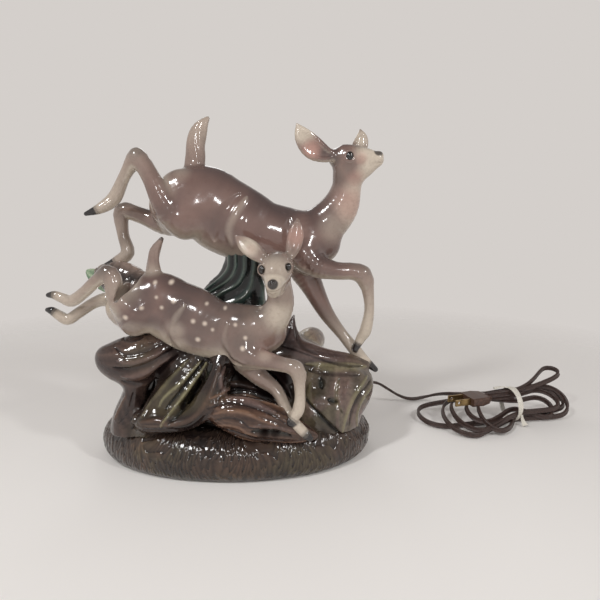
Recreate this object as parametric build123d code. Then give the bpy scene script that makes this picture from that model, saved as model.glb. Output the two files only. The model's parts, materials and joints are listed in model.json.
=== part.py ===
from build123d import *
import math
import os

# A ceramic television lamp: a leaping doe and fawn over driftwood on an oval plinth, with a light well
# behind. Millimetres, +Z up, front towards -Y. The tables are measured from near the centre of the plinth's
# foot. The figures overhang it to the left, so every node is moved by SHIFT_X, which puts the origin under
# the middle of the outline.
SHIFT_X = 17.0

# ---- driving dimensions ----
WALL = 5.0  # slip-cast wall of the plinth, rockwork and torsos
FOOT_A, FOOT_B = 113.0, 66.0  # half axes of the plinth's foot
PLINTH_X = -4.0  # centre of the plinth's oval
DECK_Z = 30.0  # top of the plinth, where the rockwork and the lamp holder stand
SHELL_TOP = 96.0
WELL_FRONT_Y = 20.0  # the rockwork is open behind this plane
LAMP_X, LAMP_Y = 0.0, 44.0  # axis of the lamp holder
NIPPLE_R = 4.9  # 1/8 IP pipe
HOLDER_R = 16.6  # brass shell of the lamp holder
HOLDER_Z = DECK_Z + 2.4  # underside of the holder's cap
HOLDER_H = 55.0
KNOB_Z = HOLDER_Z + 20.0
SHAFT_R = 2.0
KNOB_X, KNOB_R, KNOB_LENGTH = 20.0, 6.5, 11.0
GROMMET_R = 5.5
SCREW_R = 13.2  # medium (E26) cap, 7 threads to the inch
SCREW_LENGTH = 22.0
SHELL_GAP = 0.5  # play between the bulb's cap and the screw shell
BULB_R = 17.5
CORD_D = 5.2  # width of the flat two-core cord
EXIT_TURN = 60.0  # degrees from +X that the cord leaves in, square to the plinth's wall
EXIT_Z = 17.0
PLUG_AT = (246.0, 52.0, 25.0)  # back end of the plug's body
PLUG_TURN = 196.0  # degrees from +X that its blades point in
PLUG_LENGTH = 26.0
BLADE_WIDTH, BLADE_THICK, BLADE_LENGTH, BLADE_SPACING, BLADE_ROOT = 6.35, 1.52, 17.0, 12.7, 10.0

# ---- skeletons: (x, y, z, half thickness, half width) or (x, y, z, radius) ----
DOE_TORSO = [
    (-66, 14, 213, 9, 11),
    (-54, 14, 216, 25, 19),
    (-32, 14, 219, 31, 23),
    (-6, 14, 205, 32, 22),
    (20, 14, 191, 30, 20),
    (45, 14, 185, 29, 20),
    (66, 14, 182, 23, 17),
    (78, 14, 179, 10, 9),
]
DOE_NECK = [
    (62, 14, 184, 19), (80, 14, 200, 18), (91, 12, 218, 14.5), (94, 11, 236, 12.5), (89, 10, 250, 11),
]
DOE_HEAD = [
    (80, 9, 254, 9), (89, 8, 256, 11.5), (99, 6, 255, 11), (110, 4, 254, 7.5), (118, 3, 254, 5.8),
    (122, 2, 254, 4),
]
DOE_TAIL = [
    (-40, 14, 243, 9), (-38, 14, 256, 8.5, 5), (-37, 14, 270, 8, 4.5), (-32, 14, 281, 6.5, 4),
    (-26, 14, 288, 2, 1.6),
]
DOE_LEGS = {
    "doe_hind_leg_near": [
        (-40, 8, 214, 15), (-54, -1, 205, 12), (-64, -5, 221, 10), (-71, -6, 239, 8), (-83, -4, 254, 7.5),
        (-94, -1, 241, 5.6), (-105, 2, 221, 6), (-115, -3, 213, 5), (-127, -6, 208, 2.2),
    ],
    "doe_hind_leg_far": [
        (-52, 22, 203, 15), (-70, 24, 199, 10), (-90, 26, 207, 8.2), (-109, 26, 212, 7.6),
        (-108, 24, 192, 6.4), (-104, 22, 174, 6.2), (-122, 18, 165, 2.6),
    ],
    "doe_foreleg_near": [
        (56, 2, 172, 14), (68, -3, 164, 11), (84, -6, 160, 8.2), (107, -8, 157, 7.4),
        (112, -6, 130, 4.6), (111, -4, 108, 5), (106, -2, 99, 5), (102, -3, 90, 3.2),
    ],
    "doe_foreleg_far": [
        (56, 18, 158, 14), (64, 16, 144, 10.5), (76, 14, 120, 7.3), (91, 10, 101, 5.6),
        (102, 6, 88, 5.6), (110, 4, 80, 5.6),
        (121, 2, 70, 3.2),
    ],
}
DOE_EARS = {
    "doe_ear_near": [
        (80, 3, 256, 4, 2.6), (72, 0, 261, 8, 2.8), (62, -3, 268, 8.4, 2.4), (51, -6, 277, 1.6, 1),
    ],
    "doe_ear_far": [(103, 20, 262, 4, 2.4), (105, 24, 269, 7.4, 2.4), (107, 28, 279, 3, 1.4)],
}
FAWN_TORSO = [
    (-101, -28, 133, 9, 8),
    (-89, -28, 134, 20, 15),
    (-64, -28, 136, 26, 19),
    (-40, -28, 127, 25, 18),
    (-17, -28, 117, 24, 16),
    (6, -28, 112, 23, 16),
    (24, -28, 110, 17, 13),
    (33, -28, 109, 8, 7),
]
FAWN_NECK = [(16, -28, 116, 15), (29, -30, 121, 14), (37, -32, 136, 11.5), (36, -35, 152, 10.5)]
FAWN_HEAD = [
    (35, -27, 165, 8), (35, -34, 165, 12.5), (34.5, -43, 163, 13.5), (34, -52, 159, 10),
    (33, -60, 155, 7), (32.5, -65, 153, 4.5),
]
FAWN_TAIL = [
    (-68, -28, 155, 8), (-66, -27, 167, 6.2, 4), (-63, -26, 178, 5.2, 3.6), (-58, -26, 188, 2, 1.4),
]
FAWN_LEGS = {
    "fawn_hind_leg_near": [
        (-80, -38, 131, 14), (-92, -42, 141, 9), (-99, -42, 164, 6),
        (-116, -38, 149, 5.2), (-131, -36, 139.5, 5), (-149, -36, 142, 2.2),
    ],
    "fawn_hind_leg_far": [
        (-82, -20, 124, 12), (-96, -18, 124, 8), (-117, -18, 135, 6), (-137, -26, 123, 5),
        (-156, -28, 128, 2.2),
    ],
    "fawn_foreleg_near": [
        (8, -39, 97, 12), (20, -45, 93, 9), (36, -51, 91.5, 7), (51, -54, 87, 6.2), (53, -56, 68, 4.9),
        (52, -58, 56, 5), (47, -60, 47, 3.4),
    ],
    "fawn_foreleg_far": [
        (8, -30, 87, 11), (20, -37, 76, 8), (34, -42, 66, 5.6), (42, -50, 53, 4.7), (47, -55, 45, 4.8),
        (54, -59, 38.5, 4.4),
        (61, -62, 33.5, 2.2),
    ],
}
FAWN_EARS = {
    "fawn_ear_left": [
        (22, -33, 172, 4, 2.6), (17, -32, 177, 6.8, 2.6), (10, -31, 183, 6.2, 2.2),
        (2, -30, 189, 1.4, 1),
    ],
    "fawn_ear_right": [
        (46, -31, 175, 3.6, 2.6), (48, -30, 183, 6.6, 2.6), (50, -29, 193, 5.8, 2.2),
        (51, -27, 203, 1.4, 1),
    ],
}
ROCKWORK = {
    "left_boulder": [
        (-70, -22, 70, 20, 14), (-78, -26, 78, 26, 20), (-90, -29, 88, 23, 21), (-101, -32, 91, 15, 15),
        (-109, -34, 93, 4, 5),
    ],
    "boulder_foot": [
        (-76, -26, 28, 17, 17), (-79, -27, 45, 13, 14), (-82, -28, 62, 12, 12), (-84, -28, 78, 10, 10),
    ],
    "rippled_bank": [
        (-38, -38, 26, 14, 15), (-36, -38, 45, 16, 14), (-30, -33, 66, 17, 15), (-22, -27, 92, 15, 14),
    ],
    "front_root": [
        (-92, -50, 30, 4, 5), (-78, -50, 34, 7, 8), (-55, -48, 41, 10, 10), (-38, -44, 50, 12, 11),
        (-24, -36, 64, 13, 12), (-10, -26, 84, 13, 12),
    ],
    "front_log": [
        (-48, -48, 56, 10, 10), (-30, -50, 53, 15, 13), (-8, -50, 47, 19, 16), (16, -50, 40, 17, 15),
        (38, -49, 35, 12, 11), (56, -46, 32, 5, 5),
    ],
    "right_stump": [
        (72, -14, 26, 30, 34), (74, -15, 45, 29, 36), (79, -13, 62, 26, 38), (82, -9, 74, 21, 36),
        (82, -4, 81, 14, 28),
    ],
    "fore_branch": [
        (14, 0, 78, 16, 17), (34, 2, 84, 18, 16), (56, 5, 82, 14, 13), (78, 5, 81, 8, 9),
        (98, 4, 77, 6.5, 7), (112, 3, 71, 5, 6),
    ],
    "branch_spike": [(40, 4, 92, 14, 12), (46, 5, 104, 8, 8), (48, 5, 119, 1.6, 2)],
    "rear_lobe": [(60, 10, 84, 10, 12), (63, 20, 87, 12, 12), (65, 30, 89, 11, 11), (66, 36, 90, 5, 5)],
    "wave_column": [
        (2, 6, 88, 14, 34), (-2, 7, 112, 14, 34), (-6, 9, 136, 13, 30), (-1, 11, 154, 13, 21),
        (4, 12, 174, 12, 19),
    ],
    "rear_branch": [
        (-56, 8, 92, 15, 13), (-74, 11, 114, 15, 13), (-90, 14, 134, 15, 13), (-106, 16, 147, 14, 12),
        (-122, 18, 153, 11, 10), (-133, 18, 155, 4, 5),
    ],
    "leaf_sprig": [
        (-118, 22, 146, 7, 4), (-127, 26, 144, 10, 3), (-137, 30, 148, 7, 2.4), (-143, 32, 155, 1.6, 1),
    ],
}
UPRIGHT = ("boulder_foot", "right_stump", "rippled_bank", "wave_column", "rear_lobe")  # widths along X
ROCK_JOINS = {
    "left_boulder": ["fawn_torso"],
    "boulder_foot": ["left_boulder"],
    "rippled_bank": ["fawn_torso", "left_boulder", "boulder_foot"],
    "front_root": ["fawn_torso", "left_boulder", "boulder_foot", "rippled_bank"],
    "front_log": ["rippled_bank", "front_root"],
    "right_stump": ["front_log"],
    "fore_branch": ["front_log", "right_stump"],
    "branch_spike": ["fore_branch"],
    "rear_lobe": ["right_stump", "fore_branch", "branch_spike"],
    "wave_column": ["doe_torso", "fawn_torso", "rippled_bank", "fore_branch", "branch_spike"],
    "rear_branch": ["left_boulder", "fawn_torso", "wave_column"],
    "leaf_sprig": ["rear_branch"],
}
CORD_ROUTE = [
    (103, 80, 21), (121, 86, 28), (137, 91, 28), (151, 96, 18), (165, 100, 8), (180, 105, 2.7),
    (195, 104.5, 6), (206, 95, 12), (214, 82, 17.5), (218, 70, 19),
]
# The tied hank of spare cord: distance along it, half width, half height, height of its middle.
HANK_START, HANK_TURN = (176.0, 40.0), 8.0
HANK = [
    (0, 12, 5, 5.5), (12, 32, 8, 8.5), (40, 42, 12, 12.5), (68, 34, 14, 14.5), (90, 18, 15.5, 16.5),
    (102, 17.5, 16, 17), (128, 22, 17, 17.5), (150, 19, 16.5, 18), (163, 8, 10, 18),
]
TIE_AT, TIE_WIDE, TIE_Z = 91.0, 8.0, 17.5
TIE_OUTSIDE, TIE_INSIDE = (17.2, 19.6), (15.9, 18.2)  # half height, half width

os.makedirs("parts", exist_ok=True)
filled = {}  # each casting without its hollow, to trim the later ones


def limb(table, side=(0, 1, 0)):
    """A ruled skin through elliptical sections along a skeleton, each square to the path through it."""
    points = [Vector(*row[:3]) for row in table]
    faces = []
    for i, row in enumerate(table):
        before, after = points[max(i - 1, 0)], points[min(i + 1, len(points) - 1)]
        along = ((points[i] - before).normalized() if i else Vector(0, 0, 0)) + (
            (after - points[i]).normalized() if i < len(points) - 1 else Vector(0, 0, 0)
        )
        across = Vector(*side)
        across = across - along * (across.dot(along) / along.dot(along))
        plane = Plane(origin=points[i], x_dir=across, z_dir=along)
        thick, wide = row[3], row[4] if len(row) > 4 else row[3]
        faces.append(plane * (Circle(thick) if thick == wide else Ellipse(wide, thick)))
    spans = [loft([start, end], ruled=True) for start, end in zip(faces, faces[1:])]
    return spans[0].fuse(*spans[1:])


def shrunk(table, by):
    """The same skeleton without its ends, with every section smaller, for the hollow inside a casting."""
    return [(*row[:3], row[3] - by, row[4] - by) for row in table[1:-1]]


def oval(z, a, b, x=PLINTH_X, y=0.0):
    return Pos(x, y, z) * Ellipse(a, b)


def tube(z, height, outer, inner):
    return Pos(LAMP_X, LAMP_Y, z) * extrude(Circle(outer) - Circle(inner), height)


def disc(z, height, radius):
    return Pos(LAMP_X, LAMP_Y, z) * extrude(Circle(radius), height)


def turned(profile):
    """A solid of revolution about the lamp holder's axis, from (radius, height) points."""
    outline = Polyline(*[(r, 0, z) for r, z in profile], close=True)
    return Pos(LAMP_X, LAMP_Y, 0) * revolve(make_face(outline), Axis.Z)


def largest(shape):
    return max(shape.solids(), key=lambda solid: solid.volume)


def store(name, colour, *solids):
    """Write a node of one or more solids."""
    moved = [solid.moved(Location((SHIFT_X, 0, 0))) for solid in solids]
    node = moved[0] if len(moved) == 1 else Compound(children=moved)
    node.label = name
    node.color = Color(*colour)
    export_step(node, f"parts/{name}.step")


def cast(name, colour, outer, joined_to=(), hollow=None):
    """A casting: trimmed where it is joined to earlier ones, and hollow if it has a hollow."""
    for other in joined_to:
        outer = outer - filled[other]
    filled[name] = largest(outer)
    store(name, colour, largest(filled[name] - hollow) if hollow else filled[name])


TAUPE = (0.55, 0.43, 0.38)
CREAM = (0.8, 0.72, 0.62)
BARK = (0.3, 0.2, 0.17)
TEAL = (0.1, 0.3, 0.28)
MOSS = (0.32, 0.35, 0.2)
BRASS = (0.78, 0.6, 0.3)
BLACK = (0.05, 0.05, 0.05)
GLASS = (0.95, 0.95, 0.9)
BROWN = (0.2, 0.13, 0.1)
PAPER = (0.5, 0.4, 0.3)
ROCK_COLOURS = {"wave_column": TEAL, "rippled_bank": MOSS, "leaf_sprig": MOSS}

# ---- plinth and rock shell ----
exit_dir = Vector(math.cos(math.radians(EXIT_TURN)), math.sin(math.radians(EXIT_TURN)), 0)


def exit_plane():
    """The plane square to the cord at the outer face of the plinth's wall, with its normal outwards."""
    a, b = FOOT_A + 6.0, FOOT_B + 5.0
    slope = math.atan2(b * exit_dir.Y, a * exit_dir.X)
    at = Vector(PLINTH_X + a * math.cos(slope), b * math.sin(slope), EXIT_Z)
    return Plane(origin=at, x_dir=(-exit_dir.Y, exit_dir.X, 0), z_dir=exit_dir)


wall_plane = exit_plane()
plinth_outer = loft(
    [
        oval(0, FOOT_A, FOOT_B),
        oval(4, FOOT_A + 4, FOOT_B + 4),
        oval(15, FOOT_A + 6.5, FOOT_B + 5.5),
        oval(24, FOOT_A + 3, FOOT_B + 2.5),
        oval(DECK_Z, FOOT_A - 4, FOOT_B - 4),
    ],
    ruled=True,
)
plinth_hollow = loft(
    [
        oval(-1, FOOT_A - WALL - 1, FOOT_B - WALL - 1),
        oval(4, FOOT_A - WALL + 4, FOOT_B - WALL + 4),
        oval(15, FOOT_A - WALL + 6.5, FOOT_B - WALL + 5.5),
        oval(DECK_Z - WALL, FOOT_A - WALL, FOOT_B - WALL),
    ],
    ruled=True,
)
nipple_hole = disc(DECK_Z - WALL - 2, WALL + 4, NIPPLE_R + 0.3)
cord_hole = wall_plane * Pos(0, 0, -15) * extrude(Circle(GROMMET_R), 30)
cast("plinth", BARK, plinth_outer, hollow=plinth_hollow + nipple_hole + cord_hole)

shell_sections = [
    (DECK_Z, 92, 40, -6, 4), (52, 88, 37, -4, 6), (76, 78, 32, -2, 8), (SHELL_TOP, 58, 24, 0, 10),
]
behind = Pos(0, WELL_FRONT_Y + 100, 60) * Box(300, 200, 200)
shell_outer = loft([oval(z, a, b, x, y) for z, a, b, x, y in shell_sections], ruled=True) - behind
shell_hollow = loft(
    [
        oval(z - (WALL if z == SHELL_TOP else 1), a - WALL, b - WALL, x, y)
        for z, a, b, x, y in shell_sections
    ],
    ruled=True,
)
cast("rock_shell", BARK, shell_outer, hollow=shell_hollow)

# ---- torsos, then the rockwork that carries them, then the rest of the figures ----
cast("doe_torso", TAUPE, limb(DOE_TORSO), hollow=limb(shrunk(DOE_TORSO, WALL)))
cast("fawn_torso", TAUPE, limb(FAWN_TORSO), ["rock_shell"], hollow=limb(shrunk(FAWN_TORSO, WALL)))

for name, table in ROCKWORK.items():
    side = (1, 0, 0) if name in UPRIGHT else (0, 1, 0)
    cast(name, ROCK_COLOURS.get(name, BARK), limb(table, side), ["plinth", "rock_shell", *ROCK_JOINS[name]])

cast("doe_neck_and_head", TAUPE, limb(DOE_NECK) + limb(DOE_HEAD), ["doe_torso"])
cast("doe_tail", TAUPE, limb(DOE_TAIL), ["doe_torso"])
cast("fawn_neck_and_head", TAUPE, limb(FAWN_NECK) + limb(FAWN_HEAD, (1, 0, 0)), ["fawn_torso"])
cast("fawn_tail", TAUPE, limb(FAWN_TAIL), ["fawn_torso"])
for animal, ears in (("doe", DOE_EARS), ("fawn", FAWN_EARS)):
    for name, table in ears.items():
        cast(name, CREAM, limb(table), [f"{animal}_neck_and_head"])
doe_joins = ["doe_torso", "doe_neck_and_head", "fore_branch", "rear_branch", "right_stump"]
for name, table in DOE_LEGS.items():
    cast(name, TAUPE, limb(table), doe_joins)
    doe_joins.append(name)
fawn_joins = ["plinth", "rock_shell", "left_boulder", "front_root", "front_log", "rippled_bank"]
fawn_joins += ["rear_branch", "right_stump", "fawn_torso", "doe_hind_leg_far"]
for name, table in FAWN_LEGS.items():
    cast(name, TAUPE, limb(table), fawn_joins)
    fawn_joins.append(name)

# ---- lamp holder ----
shaft_hole = Pos(LAMP_X, LAMP_Y, KNOB_Z) * Rot(0, 90, 0) * extrude(Circle(3.2), 40)
interior_z, seat_z = HOLDER_Z + 13, HOLDER_Z + 29
cap_profile = [
    (NIPPLE_R + 0.1, 0), (8, 0), (13, 3), (16.9, 7), (17.4, 12), (16.8, 12), (16.7, 7.7), (12.6, 3.7),
    (7.8, 0.7), (NIPPLE_R + 0.1, 0.7),
]
store("socket_cap", BRASS, turned([(r, HOLDER_Z + z) for r, z in cap_profile]))
shell = tube(HOLDER_Z + 8, HOLDER_H - 8, HOLDER_R, HOLDER_R - 0.5)
store("socket_shell", BRASS, largest(shell - shaft_hole))
liner = tube(interior_z, HOLDER_H - 14, HOLDER_R - 0.6, HOLDER_R - 1.4)
store("socket_liner", PAPER, largest(liner - shaft_hole))
shaft_bore = Pos(LAMP_X, LAMP_Y, KNOB_Z) * Rot(0, 90, 0) * extrude(Circle(SHAFT_R + 0.08), 40)
interior = disc(interior_z, seat_z - interior_z, 14.6) - shaft_bore
contact_slot = disc(seat_z - 3, 4, 4.5)
store("socket_interior", BLACK, largest(interior - contact_slot))
store("centre_contact", BRASS, disc(seat_z - 3, 3.8, 3.4))
thread_r = SCREW_R + SHELL_GAP
screw_profile = [(5, 0), (14.1, 0), (14.1, 23), (thread_r, 23), (thread_r, 0.5), (5, 0.5)]
store("screw_shell", BRASS, turned([(r, seat_z + z) for r, z in screw_profile]))
terminals = [Pos(LAMP_X, LAMP_Y + y, interior_z - 2.6) * extrude(Circle(2.6), 2.6) for y in (-9, 9)]
store("terminal_screws", BRASS, *terminals)
shaft = Pos(LAMP_X + 1, LAMP_Y, KNOB_Z) * Rot(0, 90, 0) * extrude(Circle(SHAFT_R), KNOB_X - 1)
store("switch_shaft", BRASS, shaft)
knob_face = Circle(KNOB_R) - PolarLocations(KNOB_R + 0.9, 10) * Circle(1.6)
knob = Pos(0, 0, 2) * extrude(knob_face, KNOB_LENGTH - 2) + extrude(Circle(3.6), 2)
store("switch_knob", BLACK, largest(Pos(LAMP_X + KNOB_X, LAMP_Y, KNOB_Z) * Rot(0, 90, 0) * knob))

store("threaded_nipple", BRASS, tube(DECK_Z - WALL - 5, WALL + 15, NIPPLE_R, NIPPLE_R - 1.3))
nut = RegularPolygon(8.1, 6) - Circle(NIPPLE_R + 0.05)
store("deck_lock_nut", BRASS, Pos(LAMP_X, LAMP_Y, DECK_Z - WALL - 3) * extrude(nut, 3))
cap_nut = RegularPolygon(7.4, 6) - Circle(NIPPLE_R + 0.05)
store("cap_lock_nut", BRASS, Pos(LAMP_X, LAMP_Y, HOLDER_Z + 0.7) * extrude(cap_nut, 2.4))
store("seat_washer", BRASS, tube(DECK_Z, HOLDER_Z - DECK_Z, 12, NIPPLE_R + 0.2))

# ---- bulb ----
bulb_z = seat_z + 2.4
store("bulb_tip", BRASS, disc(bulb_z - 1.4, 1.4, 4))
insulator_profile = [(0, 0), (5, 0), (12.4, 3), (12.4, 5), (0, 5)]
store("bulb_insulator", BLACK, turned([(r, bulb_z + z) for r, z in insulator_profile]))
store("bulb_cap", BRASS, tube(bulb_z + 3, SCREW_LENGTH, SCREW_R, 12.4))
glass_line = [
    (12.3, 6), (12.3, 25), (13.8, 28), (16.4, 32.5), (BULB_R, 39), (16.9, 45), (14.6, 51), (10.4, 55.5),
    (5.2, 58),
]
glass_profile = [*glass_line, (0, 58.8), (0, 58.0)] + [(r - 0.8, z - 0.4) for r, z in reversed(glass_line)]
store("bulb_glass", GLASS, turned([(r, bulb_z + z) for r, z in glass_profile]))
store("bulb_stem", GLASS, disc(bulb_z + 5, 22, 3))
leads = [Pos(LAMP_X + x, LAMP_Y, bulb_z + 27) * extrude(Circle(0.4), 12.6) for x in (-2, 2)]
store("bulb_lead_wires", BRASS, *leads)
filament = extrude(Rectangle(6, 0.8), 0.4, both=True)
store("bulb_filament", BRASS, Pos(LAMP_X, LAMP_Y, bulb_z + 40) * Rot(90, 0, 0) * filament)

# ---- cord ----


def lead(points):
    """The round outline of a flat cord along straight runs joined by arcs as large as the runs allow."""
    points = [Vector(*p) for p in points]
    radii = []
    for before, at, after in zip(points, points[1:], points[2:]):
        run = min((at - before).length, (after - at).length)
        radii.append(0.45 * run / math.tan(math.radians((at - before).get_angle(after - at)) / 2))
    path = FilletPolyline(*points, radius=radii)
    start = Plane(origin=path @ 0, z_dir=path % 0)
    swept = sweep(start * Circle(CORD_D / 2), path=path)
    print("cord radii", [round(r) for r in radii], "length", round(path.length, 1))
    print("volume", round(swept.volume), "against", round(math.pi * CORD_D**2 / 4 * path.length))
    return swept


grommet = Pos(0, 0, -WALL - 3) * extrude(Circle(GROMMET_R), WALL + 6) + extrude(Circle(GROMMET_R + 2.5), 3)
grommet = wall_plane * (grommet - Pos(0, 0, -20) * extrude(Circle(CORD_D / 2 + 0.05), 40))
grommet = grommet - (plinth_outer - plinth_hollow - cord_hole)
store("cord_grommet", BLACK, largest(grommet))
cord_start = wall_plane.origin + exit_dir * 3
inside_points = [
    cord_start,
    cord_start - exit_dir * 22,
    Vector(LAMP_X + 26, LAMP_Y - 8, 11),
    Vector(LAMP_X + 4, LAMP_Y, 8),
    Vector(LAMP_X, LAMP_Y, 17),
    Vector(LAMP_X, LAMP_Y, HOLDER_Z + 9),
]
store("lead_in_cord", BROWN, lead(inside_points))

hank_plane = Plane(origin=(*HANK_START, 0), x_dir=(0, 0, 1), z_dir=Vector(1, 0, 0).rotate(Axis.Z, HANK_TURN))
hank_faces = [hank_plane * Pos(z, 0, along) * Ellipse(high, wide) for along, wide, high, z in HANK]
hank = loft(hank_faces, ruled=True)
store("cord_hank", BROWN, hank)
print("cord route from", cord_start)
free = lead([cord_start, cord_start + exit_dir * 17, *CORD_ROUTE])
store("cord_free", BROWN, largest(free - hank))
tie = extrude(Ellipse(*TIE_OUTSIDE) - Ellipse(*TIE_INSIDE), TIE_WIDE)
store("cord_tie", CREAM, hank_plane * Pos(TIE_Z, 0, TIE_AT) * tie)

plug_plane = Plane(origin=PLUG_AT, x_dir=(0, 0, 1), z_dir=Vector(1, 0, 0).rotate(Axis.Z, PLUG_TURN))
plug_sections = [(0, 5, 6), (6, 8, 10), (14, 8.5, 12.5), (PLUG_LENGTH, 8, 12.5)]
plug_faces = [
    Pos(0, 0, along) * RectangleRounded(high, 2 * wide, 2.4) for along, high, wide in plug_sections
]
body = plug_plane * loft(plug_faces, ruled=True)
blades = []
for side in (-1, 1):
    root = Pos(0, side * BLADE_SPACING / 2, PLUG_LENGTH - BLADE_ROOT)
    blade = root * extrude(Rectangle(BLADE_WIDTH, BLADE_THICK), BLADE_ROOT + BLADE_LENGTH)
    drill = extrude(Circle(1.5), 3, both=True)
    hole = root * Pos(0, 0, BLADE_ROOT + BLADE_LENGTH - 4) * Rot(90, 0, 0) * drill
    blades.append(plug_plane * (blade - hole))
for blade in blades:
    body = body - blade
store("plug_body", BROWN, largest(body))
store("plug_blades", BRASS, *[largest(blade) for blade in blades])
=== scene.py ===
"""A glazed ceramic television lamp: a leaping doe and fawn over driftwood on a grassy oval plinth, with the
lamp holder in the open back and a flat brown cord tied in a hank.

The tables are in millimetres from the lamp holder's axis, near the middle of the plinth's foot: +Z up, front
towards -Y. put() carries a point of theirs into the frame, in metres."""
import json
import math

import bmesh
import bpy
import numpy as np
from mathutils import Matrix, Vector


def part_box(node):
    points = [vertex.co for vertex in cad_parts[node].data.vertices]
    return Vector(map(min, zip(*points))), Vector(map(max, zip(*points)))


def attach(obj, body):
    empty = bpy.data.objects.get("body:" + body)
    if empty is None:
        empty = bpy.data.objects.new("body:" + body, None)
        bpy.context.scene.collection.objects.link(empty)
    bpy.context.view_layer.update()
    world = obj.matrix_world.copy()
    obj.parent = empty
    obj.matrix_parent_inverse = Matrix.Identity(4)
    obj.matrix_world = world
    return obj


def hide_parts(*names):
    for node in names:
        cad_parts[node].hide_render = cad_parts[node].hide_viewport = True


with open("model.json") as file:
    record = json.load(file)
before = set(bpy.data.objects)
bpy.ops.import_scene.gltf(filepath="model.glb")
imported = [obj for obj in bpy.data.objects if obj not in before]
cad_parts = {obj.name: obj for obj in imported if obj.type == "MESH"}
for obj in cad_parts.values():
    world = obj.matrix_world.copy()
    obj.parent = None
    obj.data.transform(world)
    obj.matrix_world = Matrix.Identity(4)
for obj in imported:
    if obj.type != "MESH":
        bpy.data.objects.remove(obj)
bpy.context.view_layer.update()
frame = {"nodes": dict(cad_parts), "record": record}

import openvdb
from mathutils import Vector

MM = 0.001
NIPPLE_LOW, NIPPLE_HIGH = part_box("threaded_nipple")
AXIS_X = (NIPPLE_LOW.x + NIPPLE_HIGH.x) / 2
LAMP_Y = (NIPPLE_LOW.y + NIPPLE_HIGH.y) / 2 / MM
SCENE = bpy.context.scene.collection


def put(x, y, z):
    """A point of the tables, carried into the frame."""
    return Vector((AXIS_X + x * MM, y * MM, z * MM))


def srgb(red, green, blue):
    """A colour as the eye names it, 0 to 255, for a shader."""
    line = [c / 255 / 12.92 if c <= 10 else ((c / 255 + 0.055) / 1.055) ** 2.4 for c in (red, green, blue)]
    return (*line, 1.0)


def step(low, high, value):
    """0 below low, 1 above high, and smooth between; low may be above high."""
    t = np.clip((value - low) / (high - low), 0, 1)
    return t * t * (3 - 2 * t)


def ripple(a, b, c):
    """A smooth irregular number from -1 to 1 for each point."""
    first = np.sin(a * 1.0 + 1.7 * np.sin(b * 0.73 + 0.4) + 0.9 * np.sin(c * 1.31 + 2.1))
    second = np.sin(b * 1.27 + 1.3 * np.sin(c * 0.91 + 1.2) + 1.1 * np.sin(a * 0.57 + 4.0))
    third = np.sin(c * 1.11 + 1.5 * np.sin(a * 1.07 + 3.3) + 0.8 * np.sin(b * 1.49 + 0.7))
    return (first + second + third) / 3


# ---------------------------------------------------------------- camera, light and floor


CAMERA_AT = (53, -406, 198)
CAMERA_LENS = 28.08
LOOKS_DOWN = math.radians(9)
LIGHTS_AIM = (0, 0, 120)
# Each light: its name, where it is, its two sides in metres, and its power in watts.
LIGHTS = [
    ("key", (-380, -480, 760), (0.08, 0.14), 2.9),
    ("fill", (520, -460, 600), (0.06, 0.12), 1.5),
    ("strip", (40, -640, 420), (0.03, 0.09), 0.4),
    ("back", (-100, 700, 700), (0.3, 0.3), 0.5),
]
FLOOR_REACH = 2.5
FLOOR_FADE = (0.25, 0.8)


def camera():
    eye = bpy.data.cameras.new("camera")
    eye.lens = CAMERA_LENS
    eye.sensor_width = 36.0
    holder = bpy.data.objects.new("camera", eye)
    holder.location = put(*CAMERA_AT)
    holder.rotation_euler = (math.radians(90) - LOOKS_DOWN, 0, 0)
    SCENE.objects.link(holder)
    bpy.context.scene.camera = holder
    bpy.context.scene.view_settings.view_transform = "Standard"


def daylight():
    """A pale room that darkens overhead."""
    world = bpy.data.worlds.new("studio")
    world.use_nodes = True
    tree = world.node_tree
    place = tree.nodes.new("ShaderNodeTexCoord")
    split = tree.nodes.new("ShaderNodeSeparateXYZ")
    ramp = tree.nodes.new("ShaderNodeValToRGB")
    ramp.color_ramp.elements[0].position = 0.42
    ramp.color_ramp.elements[0].color = srgb(212, 207, 203)
    ramp.color_ramp.elements[1].position = 0.8
    ramp.color_ramp.elements[1].color = srgb(128, 125, 123)
    tree.links.new(place.outputs["Generated"], split.inputs[0])
    tree.links.new(split.outputs["Z"], ramp.inputs[0])
    tree.links.new(ramp.outputs["Color"], tree.nodes["Background"].inputs["Color"])
    tree.nodes["Background"].inputs["Strength"].default_value = 1.0
    bpy.context.scene.world = world


def lights():
    for name, at, size, power in LIGHTS:
        light = bpy.data.lights.new(name, "AREA")
        light.shape = "RECTANGLE"
        light.size, light.size_y = size
        light.energy = power
        lamp = bpy.data.objects.new(name, light)
        lamp.location = put(*at)
        lamp.rotation_euler = (put(*LIGHTS_AIM) - lamp.location).to_track_quat("-Z", "Y").to_euler()
        SCENE.objects.link(lamp)


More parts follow.
